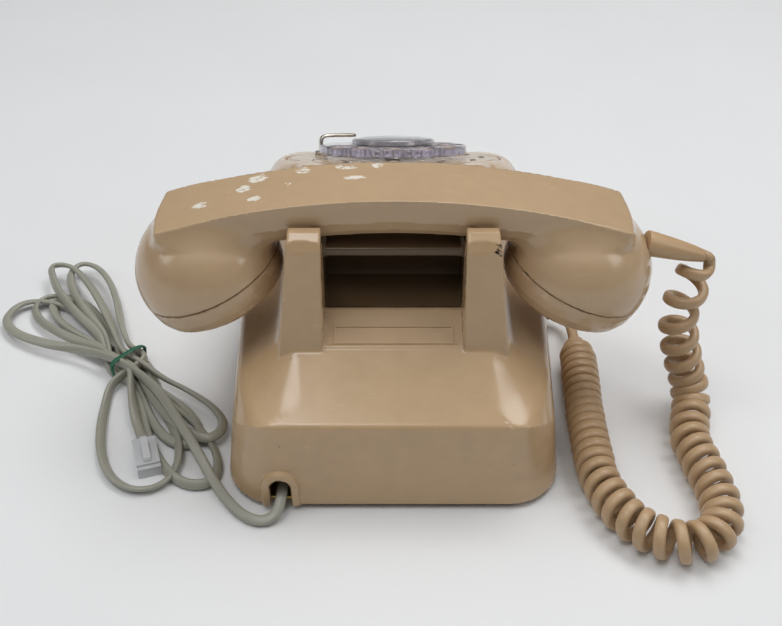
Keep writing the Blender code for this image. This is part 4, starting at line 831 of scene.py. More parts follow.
def bodyField(x, y, z):
    size = housing
    step = 0.0002
    half = bodySides(y, z)
    leanZ = (bodySides(y, z + step) - bodySides(y, z - step)) / (2 * step)
    side = (np.abs(x) - half) / np.sqrt(1 + leanZ ** 2)
    tilt, slope = math.radians(size["dialTilt"]), math.radians(size["slope"])
    nose = (-size["depth"] / 2 + 0.002 * z / 0.044) - y
    face = (size["dialY"] + (z - size["dialZ"]) / math.tan(tilt) - y) * math.sin(tilt)
    front = roundMax(nose, face, 0.010)
    wall = y - (size["depth"] / 2 - size["lip"] - size["draft"] * z / size["wallTop"])
    ramp = (y - size["deckY"] - (size["deck"] - z) / math.tan(slope)) * math.sin(slope)
    upper = y - (size["deckY"] - 0.0016 - (z - size["deck"]) * 0.175)
    back = roundMax(wall, roundMin(ramp, upper, 0.0010), 0.0016)
    body = roundMax(side, back, np.maximum(rearCorner(z), 0.003))
    body = roundMax(body, front, np.maximum(frontCorner(z), 0.003))
    body = roundMax(body, z - size["top"], 0.0030)
    return roundMax(body, size["skirt"] - z, 0.0006)


pocketOutline = [(0.092, 0.0662), (0.0768, 0.0656), (0.0595, 0.0738), (0.0593, 0.0730), (0.0400, 0.0775),
                 (0.0335, 0.0840), (0.0335, 0.0930), (0.0385, 0.0975), (0.0575, 0.0995), (0.0578, 0.1026),
                 (0.0566, 0.1200), (0.092, 0.1200)]


def cheekField(x, y, z):
    size, rear, front = housing, handset["middleY"] + 0.0176, handset["middleY"] - 0.0176
    deckY, deck, top = size["deckY"], size["deck"], size["postTop"]
    saddle = handset["top"] - 0.0385 ** 2 / (2 * handset["archRadius"]) - handset["thick"] - 0.0012
    outline = [(deckY + 0.0010, deck - 0.0060), (deckY, deck), (deckY - 0.0071, top - 0.0065),
               (deckY - 0.0090, top - 0.0028), (deckY - 0.0125, top - 0.0002), (rear + 0.0006, top),
               (rear, top - 0.0010),
               (rear, saddle), (front, saddle), (front, top - 0.0010), (front - 0.0006, top),
               (front - 0.0045, top - 0.0004), (front - 0.0090, top - 0.0035),
               (front - 0.0155, size["ridge"] - 0.0020),
               (front - 0.0180, size["top"] - 0.0100), (front - 0.0180, deck + 0.0040),
               (deckY - 0.0100, deck - 0.0080)]
    rise = (z - deck) / (top - deck)
    inner, outer = size["postInner"] - 0.0010 * rise, size["postOuter"] - 0.0060 * rise
    slab = np.maximum(inner - np.abs(x), np.abs(x) - outer)
    return roundMax(outlineDistance(outline, y, z), slab, 0.0011)


def dialReach(x, y, z):
    tilt = math.radians(housing["dialTilt"])
    dy, dz = y - housing["dialY"], z - housing["dialZ"]
    over = dy * math.cos(tilt) + dz * math.sin(tilt)
    return np.sqrt(x * x + over * over), -dy * math.sin(tilt) + dz * math.cos(tilt)


def archOutline(middle, radius, spring, foot, steps):
    # a round-topped opening, from its right foot over to its left
    outline = [(middle + radius, foot)]
    for i in range(steps + 1):
        turn = math.pi * i / steps
        outline.append((middle + radius * math.cos(turn), spring + radius * math.sin(turn)))
    return outline + [(middle - radius, foot)]


def housingField(x, y, z):
    size = housing
    outer = bodyField(x, y, z)
    trough = handset["middleY"] - 0.0176
    tilt = math.radians(size["dialTilt"])
    ridgeFront = size["dialY"] + (size["top"] - 0.006 - size["dialZ"]) / math.tan(tilt)
    ridgeTop = size["dialY"] + (size["ridge"] - 0.0005 - size["dialZ"]) / math.tan(tilt)
    ridgeOutline = [(ridgeFront, size["top"] - 0.006), (ridgeTop, size["ridge"] - 0.0005),
                    (ridgeTop + 0.002, size["ridge"]),
                    (trough - 0.014, size["ridge"]), (trough - 0.008, size["ridge"] - 0.0012),
                    (trough - 0.002, size["top"] + 0.001), (trough + 0.004, size["top"] - 0.002),
                    (trough + 0.004, size["top"] - 0.006)]
    ridgeHalf = 0.047 * (1 - 0.06 * np.maximum(0, z - size["top"]) / 0.007)
    ridge = roundMax(outlineDistance(ridgeOutline, y, z), np.abs(x) - ridgeHalf, 0.0025)
    shape = roundMin(outer, ridge, 0.002)
    shape = roundMin(shape, cheekField(x, y, z), 0.0009)
    lipOutline = archOutline(size["notchX"], size["lipRadius"], size["notchSpring"], 0.0, 12)
    lip = roundMax(outlineDistance(lipOutline, x, z), np.abs(y - size["depth"] / 2 + 0.003) - 0.003, 0.0007)
    lip = roundMax(lip, size["skirt"] - z, 0.0006)
    shape = roundMin(shape, lip, 0.0008)
    pocket = np.maximum(outlineDistance(pocketOutline, y, z), np.abs(x) - size["postInner"] + 0.0002)
    jacket = np.maximum(outlineDistance(pocketOutline, y, z), np.abs(x) - size["postInner"]) - size["wall"]
    hollow = np.maximum(bodyField(x, y, np.maximum(z, 0.006)) + size["wall"], -jacket)
    for bossX, bossY in ((0.0, -size["depth"] / 2 + 0.016), (-0.020, size["depth"] / 2 - 0.017)):
        boss = np.maximum(np.hypot(x - bossX, y - bossY) - size["bossRadius"], 0.0049 - z)
        hollow = np.maximum(hollow, -boss)
    shape = np.maximum(shape, -hollow)
    shape = roundMax(shape, -pocket, 0.0010)
    out, height = dialReach(x, y, z)
    shape = roundMax(shape, -np.maximum(out - size["dialSeat"], np.abs(height - 0.0041) - 0.006), 0.0005)
    shape = np.maximum(shape, -np.maximum(out - size["dialBore"], np.abs(height + 0.010) - 0.015))
    for side in (1, -1):
        away = np.hypot(x - side * size["wellX"], y - handset["middleY"])
        well = np.maximum(away - size["wellRadius"], np.abs(z - size["top"]) - 0.010)
        shape = roundMax(shape, -well, 0.0004)
    notchOutline = archOutline(size["notchX"], size["notchRadius"], size["notchSpring"], -0.01, 10)
    notch = np.maximum(outlineDistance(notchOutline, x, z), 0.1 - y)
    shape = roundMax(shape, -notch, 0.0005)
    away = np.hypot(y - size["bushingY"], z - size["bushingZ"])
    bushing = np.maximum(away - size["bushingRadius"], x + 0.07)
    return np.maximum(shape, -bushing)


# each mark's middle and half sizes
housingMarks = {
    "dark": [((-0.0700, 0.0905, 0.0545), (0.006, 0.009, 0.006)),
             ((-0.0450, 0.0710, 0.1120), (0.005, 0.006, 0.005)),
             ((0.0250, 0.1150, 0.0300), (0.004, 0.004, 0.006))],
    "pale": [((-0.0705, 0.0850, 0.0565), (0.006, 0.010, 0.006)),
             ((0.0700, 0.0870, 0.0560), (0.005, 0.012, 0.005)),
             ((0.0600, 0.1130, 0.0490), (0.012, 0.006, 0.003)),
             ((-0.0500, 0.1130, 0.0490), (0.010, 0.006, 0.003)),
             ((0.0800, 0.0600, 0.0200), (0.006, 0.016, 0.012))],
}


def makeHousing():
    low, high = (-0.0862, -0.1175, 0.0025), (0.0862, 0.1175, 0.1190)
    piece = shapeFromField("housingShell", housingField, low, high, cellSize(0.0010), 0.012)
    print("housing faces", len(piece.data.polygons))
    plastic = plasticMaterial("housingPlastic", linear(194, 164, 127), gloss=0.17, mottle=0.045, specks=1.0,
                              scratches=0.5,
                              shift=0.5, coat=0.2)
    # painted shade: the handhold pocket under the handset darkened with a dark brown
    paintRecessShade(plastic, (0.0, 0.046, 0.083), (0.040, 0.0155, 0.030), linear(58, 38, 20))
    makeScuffed(plastic, housingMarks["dark"], linear(44, 26, 14), 0.84)
    makeScuffed(plastic, housingMarks["pale"])
    dress(piece, plastic, "telephone_base", "housing")


makeHousing()
print("housing made")


# ---- turned and repeated pieces

def eased(outline, radius, closed=False):
    # the outline with each inner corner replaced by a short arc
    points = [np.array(p, float) for p in outline]
    result = [] if closed else [points[0]]
    corners = range(len(points)) if closed else range(1, len(points) - 1)
    for i in corners:
        before, here, after = points[i - 1], points[i], points[(i + 1) % len(points)]
        back, ahead = before - here, after - here
        backLength, aheadLength = np.linalg.norm(back), np.linalg.norm(ahead)
        cut = min(radius, backLength * 0.45, aheadLength * 0.45)
        first, last = here + back / backLength * cut, here + ahead / aheadLength * cut
        for share in (0.0, 0.33, 0.67, 1.0):
            result.append((1 - share) ** 2 * first + 2 * share * (1 - share) * here + share ** 2 * last)
    if not closed:
        result.append(points[-1])
    return [tuple(p) for p in result]


def turnedPiece(name, outline, place=Matrix.Identity(4), radius=0.0003, closed=False, sides=72):
    # a solid of revolution about the place's Z axis, from (radius, height) points
    profile = eased(outline, radius, closed)
    points, faces, rings = [], [], []
    for r, h in profile:
        if r < 1e-6:
            rings.append([len(points)])
            points.append((0.0, 0.0, h))
        else:
            rings.append(list(range(len(points), len(points) + sides)))
            points += [(r * math.cos(2 * math.pi * i / sides), r * math.sin(2 * math.pi * i / sides), h)
                       for i in range(sides)]
    pairs = list(zip(rings, rings[1:])) + ([(rings[-1], rings[0])] if closed else [])
    for low, high in pairs:
        for i in range(sides):
            j = (i + 1) % sides
            face = [low[i % len(low)], low[j % len(low)], high[j % len(high)], high[i % len(high)]]
            face = list(dict.fromkeys(face))
            if len(face) > 2:
                faces.append(face)
    mesh = bpy.data.meshes.new(name)
    mesh.from_pydata(points, [], faces)
    mesh.transform(place)
    return finishedMesh(name, mesh)


def finishedMesh(name, mesh, angle=38):
    bm = bmesh.new()
    bm.from_mesh(mesh)
    bmesh.ops.remove_doubles(bm, verts=bm.verts, dist=1e-6)
    bmesh.ops.recalc_face_normals(bm, faces=bm.faces)
    bm.to_mesh(mesh)
    bm.free()
    mesh.shade_smooth()
    mesh.set_sharp_from_angle(angle=math.radians(angle))
    piece = bpy.data.objects.new(name, mesh)
    bpy.context.scene.collection.objects.link(piece)
    return piece


def makeRingTree():
    # copies of one item round a circle, each turned to face out
    tree = bpy.data.node_groups.new("ringOfItems", "GeometryNodeTree")
    tree.interface.new_socket(name="Geometry", in_out="OUTPUT", socket_type="NodeSocketGeometry")
    sockets = {}
    for label, kind in (("Item", "NodeSocketObject"), ("Count", "NodeSocketInt"),
                        ("Radius", "NodeSocketFloat"),
                        ("Start", "NodeSocketFloat"), ("Step", "NodeSocketFloat"),
                        ("Finish", "NodeSocketMaterial")):
        sockets[label] = tree.interface.new_socket(name=label, in_out="INPUT", socket_type=kind).identifier
    given, result = tree.nodes.new("NodeGroupInput"), tree.nodes.new("NodeGroupOutput")
    spots = addNode(tree, "GeometryNodePoints", {"Count": given.outputs["Count"]})
    index = tree.nodes.new("GeometryNodeInputIndex").outputs[0]
    turn = calc(tree, "ADD", given.outputs["Start"], calc(tree, "MULTIPLY", index, given.outputs["Step"]))
    x = calc(tree, "MULTIPLY", given.outputs["Radius"], calc(tree, "COSINE", turn))
    y = calc(tree, "MULTIPLY", given.outputs["Radius"], calc(tree, "SINE", turn))
    spot = addNode(tree, "ShaderNodeCombineXYZ", {"X": x, "Y": y}).outputs[0]
    spin = addNode(tree, "ShaderNodeCombineXYZ", {"Z": turn}).outputs[0]
    placed = addNode(tree, "GeometryNodeSetPosition", {"Geometry": spots.outputs[0], "Position": spot})
    item = addNode(tree, "GeometryNodeObjectInfo", {"Object": given.outputs["Item"]})
    copies = addNode(tree, "GeometryNodeInstanceOnPoints", {"Points": placed.outputs[0], "Rotation": spin,
                                                            "Instance": item.outputs["Geometry"]})
    solid = addNode(tree, "GeometryNodeRealizeInstances", {"Geometry": copies.outputs[0]})
    dressed = addNode(tree, "GeometryNodeSetMaterial",
                      {"Geometry": solid.outputs[0], "Material": given.outputs["Finish"]})
    tree.links.new(dressed.outputs[0], result.inputs[0])
    return tree, sockets


ringTree, ringSockets = makeRingTree()


def makeRing(name, item, finish, body, place, count, radius, start=0.0, step=None):
    holder = bpy.data.objects.new(name + "Holder", bpy.data.meshes.new(name + "Holder"))
    bpy.context.scene.collection.objects.link(holder)
    modifier = holder.modifiers.new("ring", "NODES")
    modifier.node_group = ringTree
    values = {"Item": item, "Count": count, "Radius": radius, "Start": start, "Finish": finish,
              "Step": 2 * math.pi / count if step is None else step}
    for label, value in values.items():
        modifier[ringSockets[label]] = value
    evaluated = holder.evaluated_get(bpy.context.evaluated_depsgraph_get())
    mesh = bpy.data.meshes.new_from_object(evaluated)
    mesh.name = name
    holder.modifiers.remove(modifier)
    bpy.data.objects.remove(holder)
    bpy.data.objects.remove(item)
    mesh.transform(place)
    piece = finishedMesh(name, mesh)
    return dress(piece, finish, body)


# ---- metals, clear plastic and other finishes

def makeWorkedMetal():
    # tarnish in clouds, fine drawn lines and a few dull spots
    group, given, result = newGroup(
        "workedMetal", {"Colour": (0.6, 0.6, 0.6, 1.0), "Tarnish": (0.3, 0.3, 0.3, 1.0), "Gloss": 0.3,
                        "Shift": 0.0},
        lookOutputs)
    place = ownPlace(group)
    moved = vectorCalc(group, "ADD", place, given.outputs["Shift"])
    cloud = noiseOn(group, moved, 70.0, 4.0)
    spots = noiseOn(group, moved, 420.0, 2.0)
    drawn = addNode(group, "ShaderNodeMapping", {"Vector": moved, "Scale": (1.0, 24.0, 24.0)}).outputs[0]
    lines = noiseOn(group, drawn, 70.0, 4.0)
    dull = calc(group, "MULTIPLY", spread(group, cloud, 0.45, 0.72), 0.65)
    dull = calc(group, "MAXIMUM", dull, spread(group, spots, 0.64, 0.70, 0.0, 0.7))
    group.links.new(tint(group, dull, given.outputs["Colour"], given.outputs["Tarnish"]),
                    result.inputs["Colour"])
    rough = calc(group, "ADD", given.outputs["Gloss"], calc(group, "MULTIPLY", dull, 0.3))
    group.links.new(calc(group, "ADD", rough, calc(group, "MULTIPLY", lines, 0.08)),
                    result.inputs["Roughness"])
    group.links.new(lines, result.inputs["Height"])
    return group


workedMetal = makeWorkedMetal()


def metalMaterial(name, colour, tarnish, gloss=0.25, shift=0.0):
    material, tree, shader = startMaterial(name)
    height = useLook(tree, shader, workedMetal,
                     {"Colour": colour, "Tarnish": tarnish, "Gloss": gloss, "Shift": shift})
    useBump(tree, shader, height, 0.1, 0.0001)
    shader.inputs["Metallic"].default_value = 1.0
    return material


def makeClearLook():
    # faint tint changes, hairline scratches and finger haze on clear plastic
    group, given, result = newGroup("clearLook",
                                    {"Colour": (0.8, 0.8, 0.85, 1.0), "Deep": (0.6, 0.6, 0.7, 1.0),
                                     "Gloss": 0.04},
                                    lookOutputs)
    place = ownPlace(group)
    cloud = noiseOn(group, place, 60.0, 3.0)
    drawn = addNode(group, "ShaderNodeMapping",
                    {"Vector": place, "Rotation": (0.2, 0.3, 0.9), "Scale": (1.0, 18.0, 6.0)})
    hair = noiseOn(group, drawn.outputs[0], 90.0, 5.0)
    haze = calc(group, "ADD", calc(group, "MULTIPLY", spread(group, hair, 0.64, 0.70), 0.12),
                calc(group, "MULTIPLY", spread(group, cloud, 0.4, 0.8), 0.06))
    group.links.new(tint(group, cloud, given.outputs["Colour"], given.outputs["Deep"]),
                    result.inputs["Colour"])
    group.links.new(calc(group, "ADD", given.outputs["Gloss"], haze), result.inputs["Roughness"])
    group.links.new(hair, result.inputs["Height"])
    return group


clearLook = makeClearLook()


def clearMaterial(name, colour, deep, gloss=0.04, through=1.0):
    material, tree, shader = startMaterial(name)
    height = useLook(tree, shader, clearLook, {"Colour": colour, "Deep": deep, "Gloss": gloss})
    useBump(tree, shader, height, 0.05, 0.0001)
    shader.inputs["Transmission Weight"].default_value = through
    shader.inputs["IOR"].default_value = 1.49
    return material


def paperMaterial(name, colour):
    material, tree, shader = startMaterial(name)
    place = ownPlace(tree)
    fibre = noiseOn(tree, place, 900.0, 4.0)
    stain = noiseOn(tree, place, 60.0, 2.0)
    yellowed = tuple(c * f for c, f in zip(colour[:3], (0.93, 0.88, 0.74))) + (1.0,)
    tree.links.new(tint(tree, spread(tree, stain, 0.35, 0.75), colour, yellowed), shader.inputs["Base Color"])
    tree.links.new(spread(tree, fibre, 0.3, 0.7, 0.65, 0.8), shader.inputs["Roughness"])
    useBump(tree, shader, fibre, 0.2, 0.0001)
    return material


def windingMaterial(name, wire, shade, turnsPerMetre):
    # enamelled wire laid side by side along X
    material, tree, shader = startMaterial(name)
    place = ownPlace(tree)
    bands = addNode(tree, "ShaderNodeTexWave", {"Vector": place, "Scale": turnsPerMetre, "Distortion": 0.4,
                                                "Detail": 1.0}, wave_type="BANDS",
                    bands_direction="X").outputs["Fac"]
    cloud = noiseOn(tree, place, 120.0, 3.0)
    mixed = calc(tree, "MULTIPLY", bands, spread(tree, cloud, 0.2, 0.8, 0.7, 1.0))
    tree.links.new(tint(tree, mixed, shade, wire), shader.inputs["Base Color"])
    tree.links.new(spread(tree, cloud, 0.3, 0.7, 0.28, 0.42), shader.inputs["Roughness"])
    useBump(tree, shader, bands, 0.4, 0.0002)
    shader.inputs["Metallic"].default_value = 0.6
    return material


finishes = {
    "nickel": metalMaterial("nickelPlate", linear(214, 208, 196), linear(150, 140, 122), 0.16, 0.1),
    "steel": metalMaterial("zincSteel", linear(176, 176, 174), linear(120, 116, 108), 0.30, 0.3),
    "chromate": metalMaterial("yellowChromate", linear(196, 170, 92), linear(150, 128, 96), 0.34, 0.5),
    "brass": metalMaterial("springBrass", linear(206, 170, 96), linear(140, 104, 58), 0.24, 0.7),
    "gold": metalMaterial("contactGold", linear(232, 190, 96), linear(190, 144, 70), 0.18, 0.9),
    "bell": metalMaterial("gongMetal", linear(186, 150, 92), linear(120, 92, 60), 0.22, 1.1),
    "dialClear": clearMaterial("wheelClear", linear(246, 244, 251), linear(226, 222, 240), 0.03, 0.9),
    "windowClear": clearMaterial("windowClear", linear(246, 246, 250), linear(232, 230, 240), 0.03, 0.8),
    "plugClear": clearMaterial("plugClear", linear(246, 248, 250), linear(230, 232, 236), 0.05, 0.4),
    "card": paperMaterial("numberCardPaper", linear(212, 206, 204)),
    "winding": windingMaterial("coilWinding", linear(184, 92, 48), linear(70, 26, 12), 900.0),
    "facePlastic": plasticMaterial("dialFacePlastic", linear(188, 164, 132), gloss=0.24, mottle=0.03,
                                   specks=0.4,
                                   scratches=0.3, shift=1.3),
    "ink": plasticMaterial("dialInk", linear(44, 38, 34), gloss=0.45, mottle=0.03, specks=0.0, scratches=0.1,
                           coat=0.0),
    "white": plasticMaterial("dotWhite", linear(228, 224, 214), gloss=0.35, mottle=0.03, specks=0.1,
                             scratches=0.1, coat=0.0),
    "rubber": plasticMaterial("footRubber", linear(40, 38, 38), gloss=0.62, mottle=0.08, specks=0.3,
                              scratches=0.2,
                              shift=1.5, coat=0.0),
    "bushing": plasticMaterial("bushingVinyl", linear(150, 122, 90), gloss=0.42, mottle=0.04, specks=0.2,
                               scratches=0.1),
    "phenolic": plasticMaterial("terminalPhenolic", linear(74, 46, 28), gloss=0.42, mottle=0.10, specks=0.3,
                                scratches=0.2, shift=1.7),
    "plunger": plasticMaterial("plungerPlastic", linear(206, 200, 186), gloss=0.28, mottle=0.03, specks=0.2,
                               scratches=0.2, shift=1.9),
    "boot": plasticMaterial("bootVinyl", linear(190, 158, 120), gloss=0.32, mottle=0.04, specks=0.3,
                            scratches=0.15,
                            shift=2.1, coat=0.1),
    "unitShell": metalMaterial("unitShell", linear(182, 178, 168), linear(128, 120, 106), 0.32, 2.3),
}

keptNodes = {
    "steel": ["ringer_frame", "hookswitch_bracket", "hookswitch_lever", "clapper", "dial_frame",
              "gong_screw_left",
              "gong_screw_right", "housing_screw_front", "housing_screw_rear"],
    "nickel": ["dial_shaft"],
    "chromate": ["base_plate", "network_box"],
    "brass": ["main_gear", "governor", "switch_springs", "pulse_springs"],
    "gold": ["plug_contact_1", "plug_contact_2", "plug_contact_3", "plug_contact_4"],
    "winding": ["ringer_coil"],
    "rubber": ["foot_front_left", "foot_front_right", "foot_rear_left", "foot_rear_right"],
    "bushing": ["cord_bushing"],
    "phenolic": ["terminal_strip", "volume_wheel"],
    "plunger": ["hook_plunger_left", "hook_plunger_right"],
    "plugClear": ["plug_body", "plug_latch"],
}


def dressNodes(rows):
    for finish, names in rows.items():
        for name in names:
            piece = nodes[name]
            if not piece.material_slots:
                piece.data.materials.append(finishes[finish])
            for slot in piece.material_slots:
                slot.material = finishes[finish]


dressNodes(keptNodes)
print("finishes made")


# ---- dial

dial = {
    "place": (0.0, housing["dialY"], housing["dialZ"]), "tilt": housing["dialTilt"],
    "wheelRadius": 0.0387, "wheelLow": 0.0018, "wheelHigh": 0.0068, "holeRadius": 0.0066,
    "holeCircle": 0.0298,
    "holes": 10, "firstHole": 30, "holeStep": 30, "stopAngle": -30, "stopCircle": 0.0456, "faceRadius": 0.056,
    "faceHigh": -0.0002,
    "faceLow": -0.0016, "cardRadius": 0.0205, "digitCircle": 0.0468, "digitSize": 0.0082,
}
dialPlace = Matrix.Translation(dial["place"]) @ Matrix.Rotation(math.radians(dial["tilt"]), 4, "X")


def holeSpots(size):
    turns = [math.radians(size["firstHole"] + size["holeStep"] * i) for i in range(size["holes"])]
    return [(size["holeCircle"] * math.cos(turn), size["holeCircle"] * math.sin(turn)) for turn in turns]


def wheelField(x, y, z):
    size = dial
    out = np.hypot(x, y)
    middle, half = (size["wheelLow"] + size["wheelHigh"]) / 2, (size["wheelHigh"] - size["wheelLow"]) / 2
    slab = np.maximum(z - middle - half, middle - half - z)
    disc = roundMax(out - size["wheelRadius"], slab, 0.0014)
    groove = np.hypot(out - 0.0222, z - size["wheelHigh"]) - 0.0006
    disc = roundMax(disc, -groove, 0.0003)
    for spotX, spotY in holeSpots(size):
        hole = np.hypot(x - spotX, y - spotY) - size["holeRadius"]
        disc = roundMax(disc, -hole, 0.0013)
    return roundMax(disc, 0.0043 - out, 0.0003)


def makeDial(size):
    cell = cellSize(0.0006)
    low = (-size["wheelRadius"], -size["wheelRadius"], size["wheelLow"])
    high = (size["wheelRadius"], size["wheelRadius"], size["wheelHigh"])
    wheel = shapeFromField("fingerWheel", wheelField, low, high, cell, 0.002, place=dialPlace)
    dress(wheel, finishes["dialClear"], "dial_rotor", "finger_wheel")
    rim, faceHigh, faceLow = size["faceRadius"], size["faceHigh"], size["faceLow"]
    face = turnedPiece("dialFace", [(0.005, faceHigh - 0.0002), (0.0395, faceHigh - 0.0002),
                                    (0.0402, faceHigh + 0.0002),
                                    (rim - 0.0016, faceHigh + 0.0004), (rim, faceHigh - 0.0004),
                                    (rim, faceLow),
                                    (0.005, faceLow)], dialPlace, 0.0004, True, 96)
    dress(face, finishes["facePlastic"], "telephone_base", "dial_face")
    high, card = size["wheelHigh"] + 0.0003, size["cardRadius"]
    holder = turnedPiece("cardHolder", [(0, high + 0.0016), (card - 0.0008, high + 0.0016),
                                        (card, high + 0.0019),
                                        (card + 0.0001, high), (0, high)], dialPlace, 0.0003)
    dress(holder, finishes["nickel"], "dial_rotor", "card_holder")
    cardLow = high + 0.0019
    paper = turnedPiece("numberCard", [(0, cardLow + 0.0004), (card - 0.0012, cardLow + 0.0004),
                                       (card - 0.0012, cardLow),
                                       (0, cardLow)], dialPlace, 0.0001)
    dress(paper, finishes["card"], "dial_rotor", "number_card")
    glassLow = cardLow + 0.0007
    window = turnedPiece("cardWindow", [(0, glassLow + 0.0016), (card * 0.35, glassLow + 0.0015),
                                        (card * 0.7, glassLow + 0.0011), (card + 0.0002, glassLow + 0.0003),
                                        (card + 0.0012, glassLow - 0.0006), (card + 0.0012, high),
                                        (card + 0.0004, high),
                                        (card + 0.0004, glassLow - 0.0003), (card * 0.7, glassLow),
                                        (0, glassLow)],
                         dialPlace, 0.0004)
    dress(window, finishes["windowClear"], "dial_rotor", "card_window")


def makeDigits(size):
    # the ten numbers, upright on the ring outside the wheel
    mesh = bmesh.new()
    for i, label in enumerate("1234567890"):
        words = bpy.data.curves.new("digit" + label, "FONT")
        words.body = label
        words.size = size["digitSize"]
        words.align_x, words.align_y = "CENTER", "CENTER"
        words.extrude = 0.00008
        holder = bpy.data.objects.new("digit" + label, words)
        bpy.context.scene.collection.objects.link(holder)
        flat = bpy.data.meshes.new_from_object(holder.evaluated_get(bpy.context.evaluated_depsgraph_get()))
        turn = math.radians(size["firstHole"] + size["holeStep"] * i)
        reach, high = size["digitCircle"], size["faceHigh"] + 0.00042
        flat.transform(dialPlace @ Matrix.Translation((reach * math.cos(turn), reach * math.sin(turn), high)))
        mesh.from_mesh(flat)
        bpy.data.objects.remove(holder)
    merged = bpy.data.meshes.new("dialNumbers")
    mesh.to_mesh(merged)
    mesh.free()
    dress(finishedMesh("dialNumbers", merged), finishes["ink"], "telephone_base")


def simpleItem(name, outline, sides=20):
    # one small turned item that a ring repeats
    item = turnedPiece(name, outline, Matrix.Identity(4), 0.0001, False, sides)
    item.data.materials.clear()
    return item


def makeFingerStop(size):
    turn = math.radians(size["stopAngle"])
    x, y = size["stopCircle"] * math.cos(turn), size["stopCircle"] * math.sin(turn)
    top = size["wheelHigh"] + 0.0034
    route = [(x, y, size["faceHigh"] + 0.0006), (x, y, size["faceHigh"] + 0.004), (x, y, top - 0.0024),
             (x - 0.0007, y - 0.0002, top - 0.0008), (x - 0.0024, y - 0.0010, top),
             (x - 0.0070, y - 0.0034, top + 0.0003),
             (x - 0.0125, y - 0.0063, top + 0.0003), (x - 0.0185, y - 0.0095, top + 0.0001)]
    line, _ = smoothLine(route, 90)
    across = np.tile(unit(np.array([0.45, -0.89, 0.0])), (len(line), 1))
    reach = np.linspace(0, 1, len(line))
    narrow = 1 - 0.35 * np.clip((reach - 0.93) / 0.07, 0, 1) ** 2
    arm = sweep("fingerStop", line, across, flatRound(0.0034, 0.0020, 18), narrow)
    foot = turnedPiece("stopFoot", [(0, 0.0022), (0.0026, 0.0022), (0.0036, 0.0016), (0.0036, 0.0), (0, 0)],
                       Matrix.Translation((x, y, size["faceHigh"] + 0.0004)), 0.0004, False, 36)
    both = bmesh.new()
    both.from_mesh(arm.data)
    both.from_mesh(foot.data)
    both.transform(dialPlace)
    both.to_mesh(arm.data)
    both.free()
    bpy.data.objects.remove(foot)
    arm.data.shade_smooth()
    dress(arm, finishes["nickel"], "telephone_base", "finger_stop")


makeDial(dial)
makeDigits(dial)
makeFingerStop(dial)
dotItem = simpleItem("dotItem", [(0, 0.0002), (0.0014, 0.0002), (0.0014, -0.0002), (0, -0.0002)])
makeRing("dialDots", dotItem, finishes["white"], "telephone_base",
         dialPlace @ Matrix.Translation((0, 0, dial["faceHigh"])),
         dial["holes"], dial["holeCircle"], math.radians(dial["firstHole"]), math.radians(dial["holeStep"]))
knurls = {"count": 30, "circle": 0.0084}
knurlItem = simpleItem("knurlItem", [(0, 0.0019), (0.0005, 0.0019), (0.0005, -0.0019), (0, -0.0019)], 8)
wheelLow, wheelHigh = [Vector(corner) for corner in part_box("volume_wheel")]
volumePlace = Matrix.Translation((wheelLow + wheelHigh) / 2) @ Matrix.Rotation(math.pi / 2, 4, "Y")
makeRing("volumeKnurls", knurlItem, finishes["phenolic"], "volume_wheel_body", volumePlace,
         knurls["count"], knurls["circle"])
print("dial made")


# ---- capsules, boot, gongs and terminals

def cupMatrix(side):
    centre, _ = cupAxes(handset, side)
    return Matrix.Translation(centre.tolist()) @ Matrix.Rotation(side * math.radians(handset["cupTilt"]), 4,
                                                                 "Y")


capsule = {"radius": 0.0272, "high": 0.0120, "low": -0.0085}


def makeCapsules(size):
    r, high, low = size["radius"], size["high"], size["low"]
    for side, name, node in ((1, "receiverCapsule", "receiver_unit"),
                             (-1, "transmitterCapsule", "transmitter_unit")):
        outline = [(0, high), (0.0085, high), (0.0092, high - 0.0010), (r - 0.0075, high - 0.0010),
                   (r - 0.0040, high - 0.0014),
                   (r - 0.0002, high - 0.0045), (r - 0.0002, low + 0.0030), (r, low + 0.0028),
                   (r, low + 0.0012),
                   (r - 0.0016, low), (r - 0.0040, low + 0.0006), (r - 0.0065, low), (0, low)]
        dress(turnedPiece(name, outline, cupMatrix(side), 0.0006), finishes["unitShell"], "handset", node)


def makeBoot(cord):
    start, stop = Vector(cord["bootFrom"]), Vector(cord["bootTo"])
    ahead = stop - start
    place = Matrix.Translation(start) @ ahead.to_track_quat("Z", "Y").to_matrix().to_4x4()
    length = ahead.length
    outline = [(0, 0), (0.0058, 0), (0.0057, length * 0.10), (0.0054, length * 0.28), (0.0047, length * 0.55),
               (0.0038, length * 0.80), (0.0031, length * 0.94), (0.0028, length), (0, length)]
    dress(turnedPiece("cordBoot", outline, place, 0.0006, False, 48), finishes["boot"], "handset",
          "handset_boot")


gong = {"radius": 0.024, "spacing": 0.055, "y": -0.072, "z": 0.034}


def makeGongs(size):
    r, top = size["radius"], size["z"]
    bell = [(0.0021, top), (r * 0.30, top - 0.0002), (r * 0.76, top - 0.0010), (r * 0.92, top - 0.0032),
            (r, top - 0.0065),
            (r, top - 0.0125), (r - 0.0014, top - 0.0125), (r - 0.0014, top - 0.0075),
            (r * 0.88, top - 0.0046),
            (r * 0.72, top - 0.0028), (0.0021, top - 0.0018)]
    for side, name, node in ((-1, "gongLeft", "gong_left"), (1, "gongRight", "gong_right")):
        place = Matrix.Translation((side * size["spacing"] / 2, size["y"], 0.0))
        dress(turnedPiece(name, bell, place, 0.0005, True, 80), finishes["bell"], "telephone_base", node)


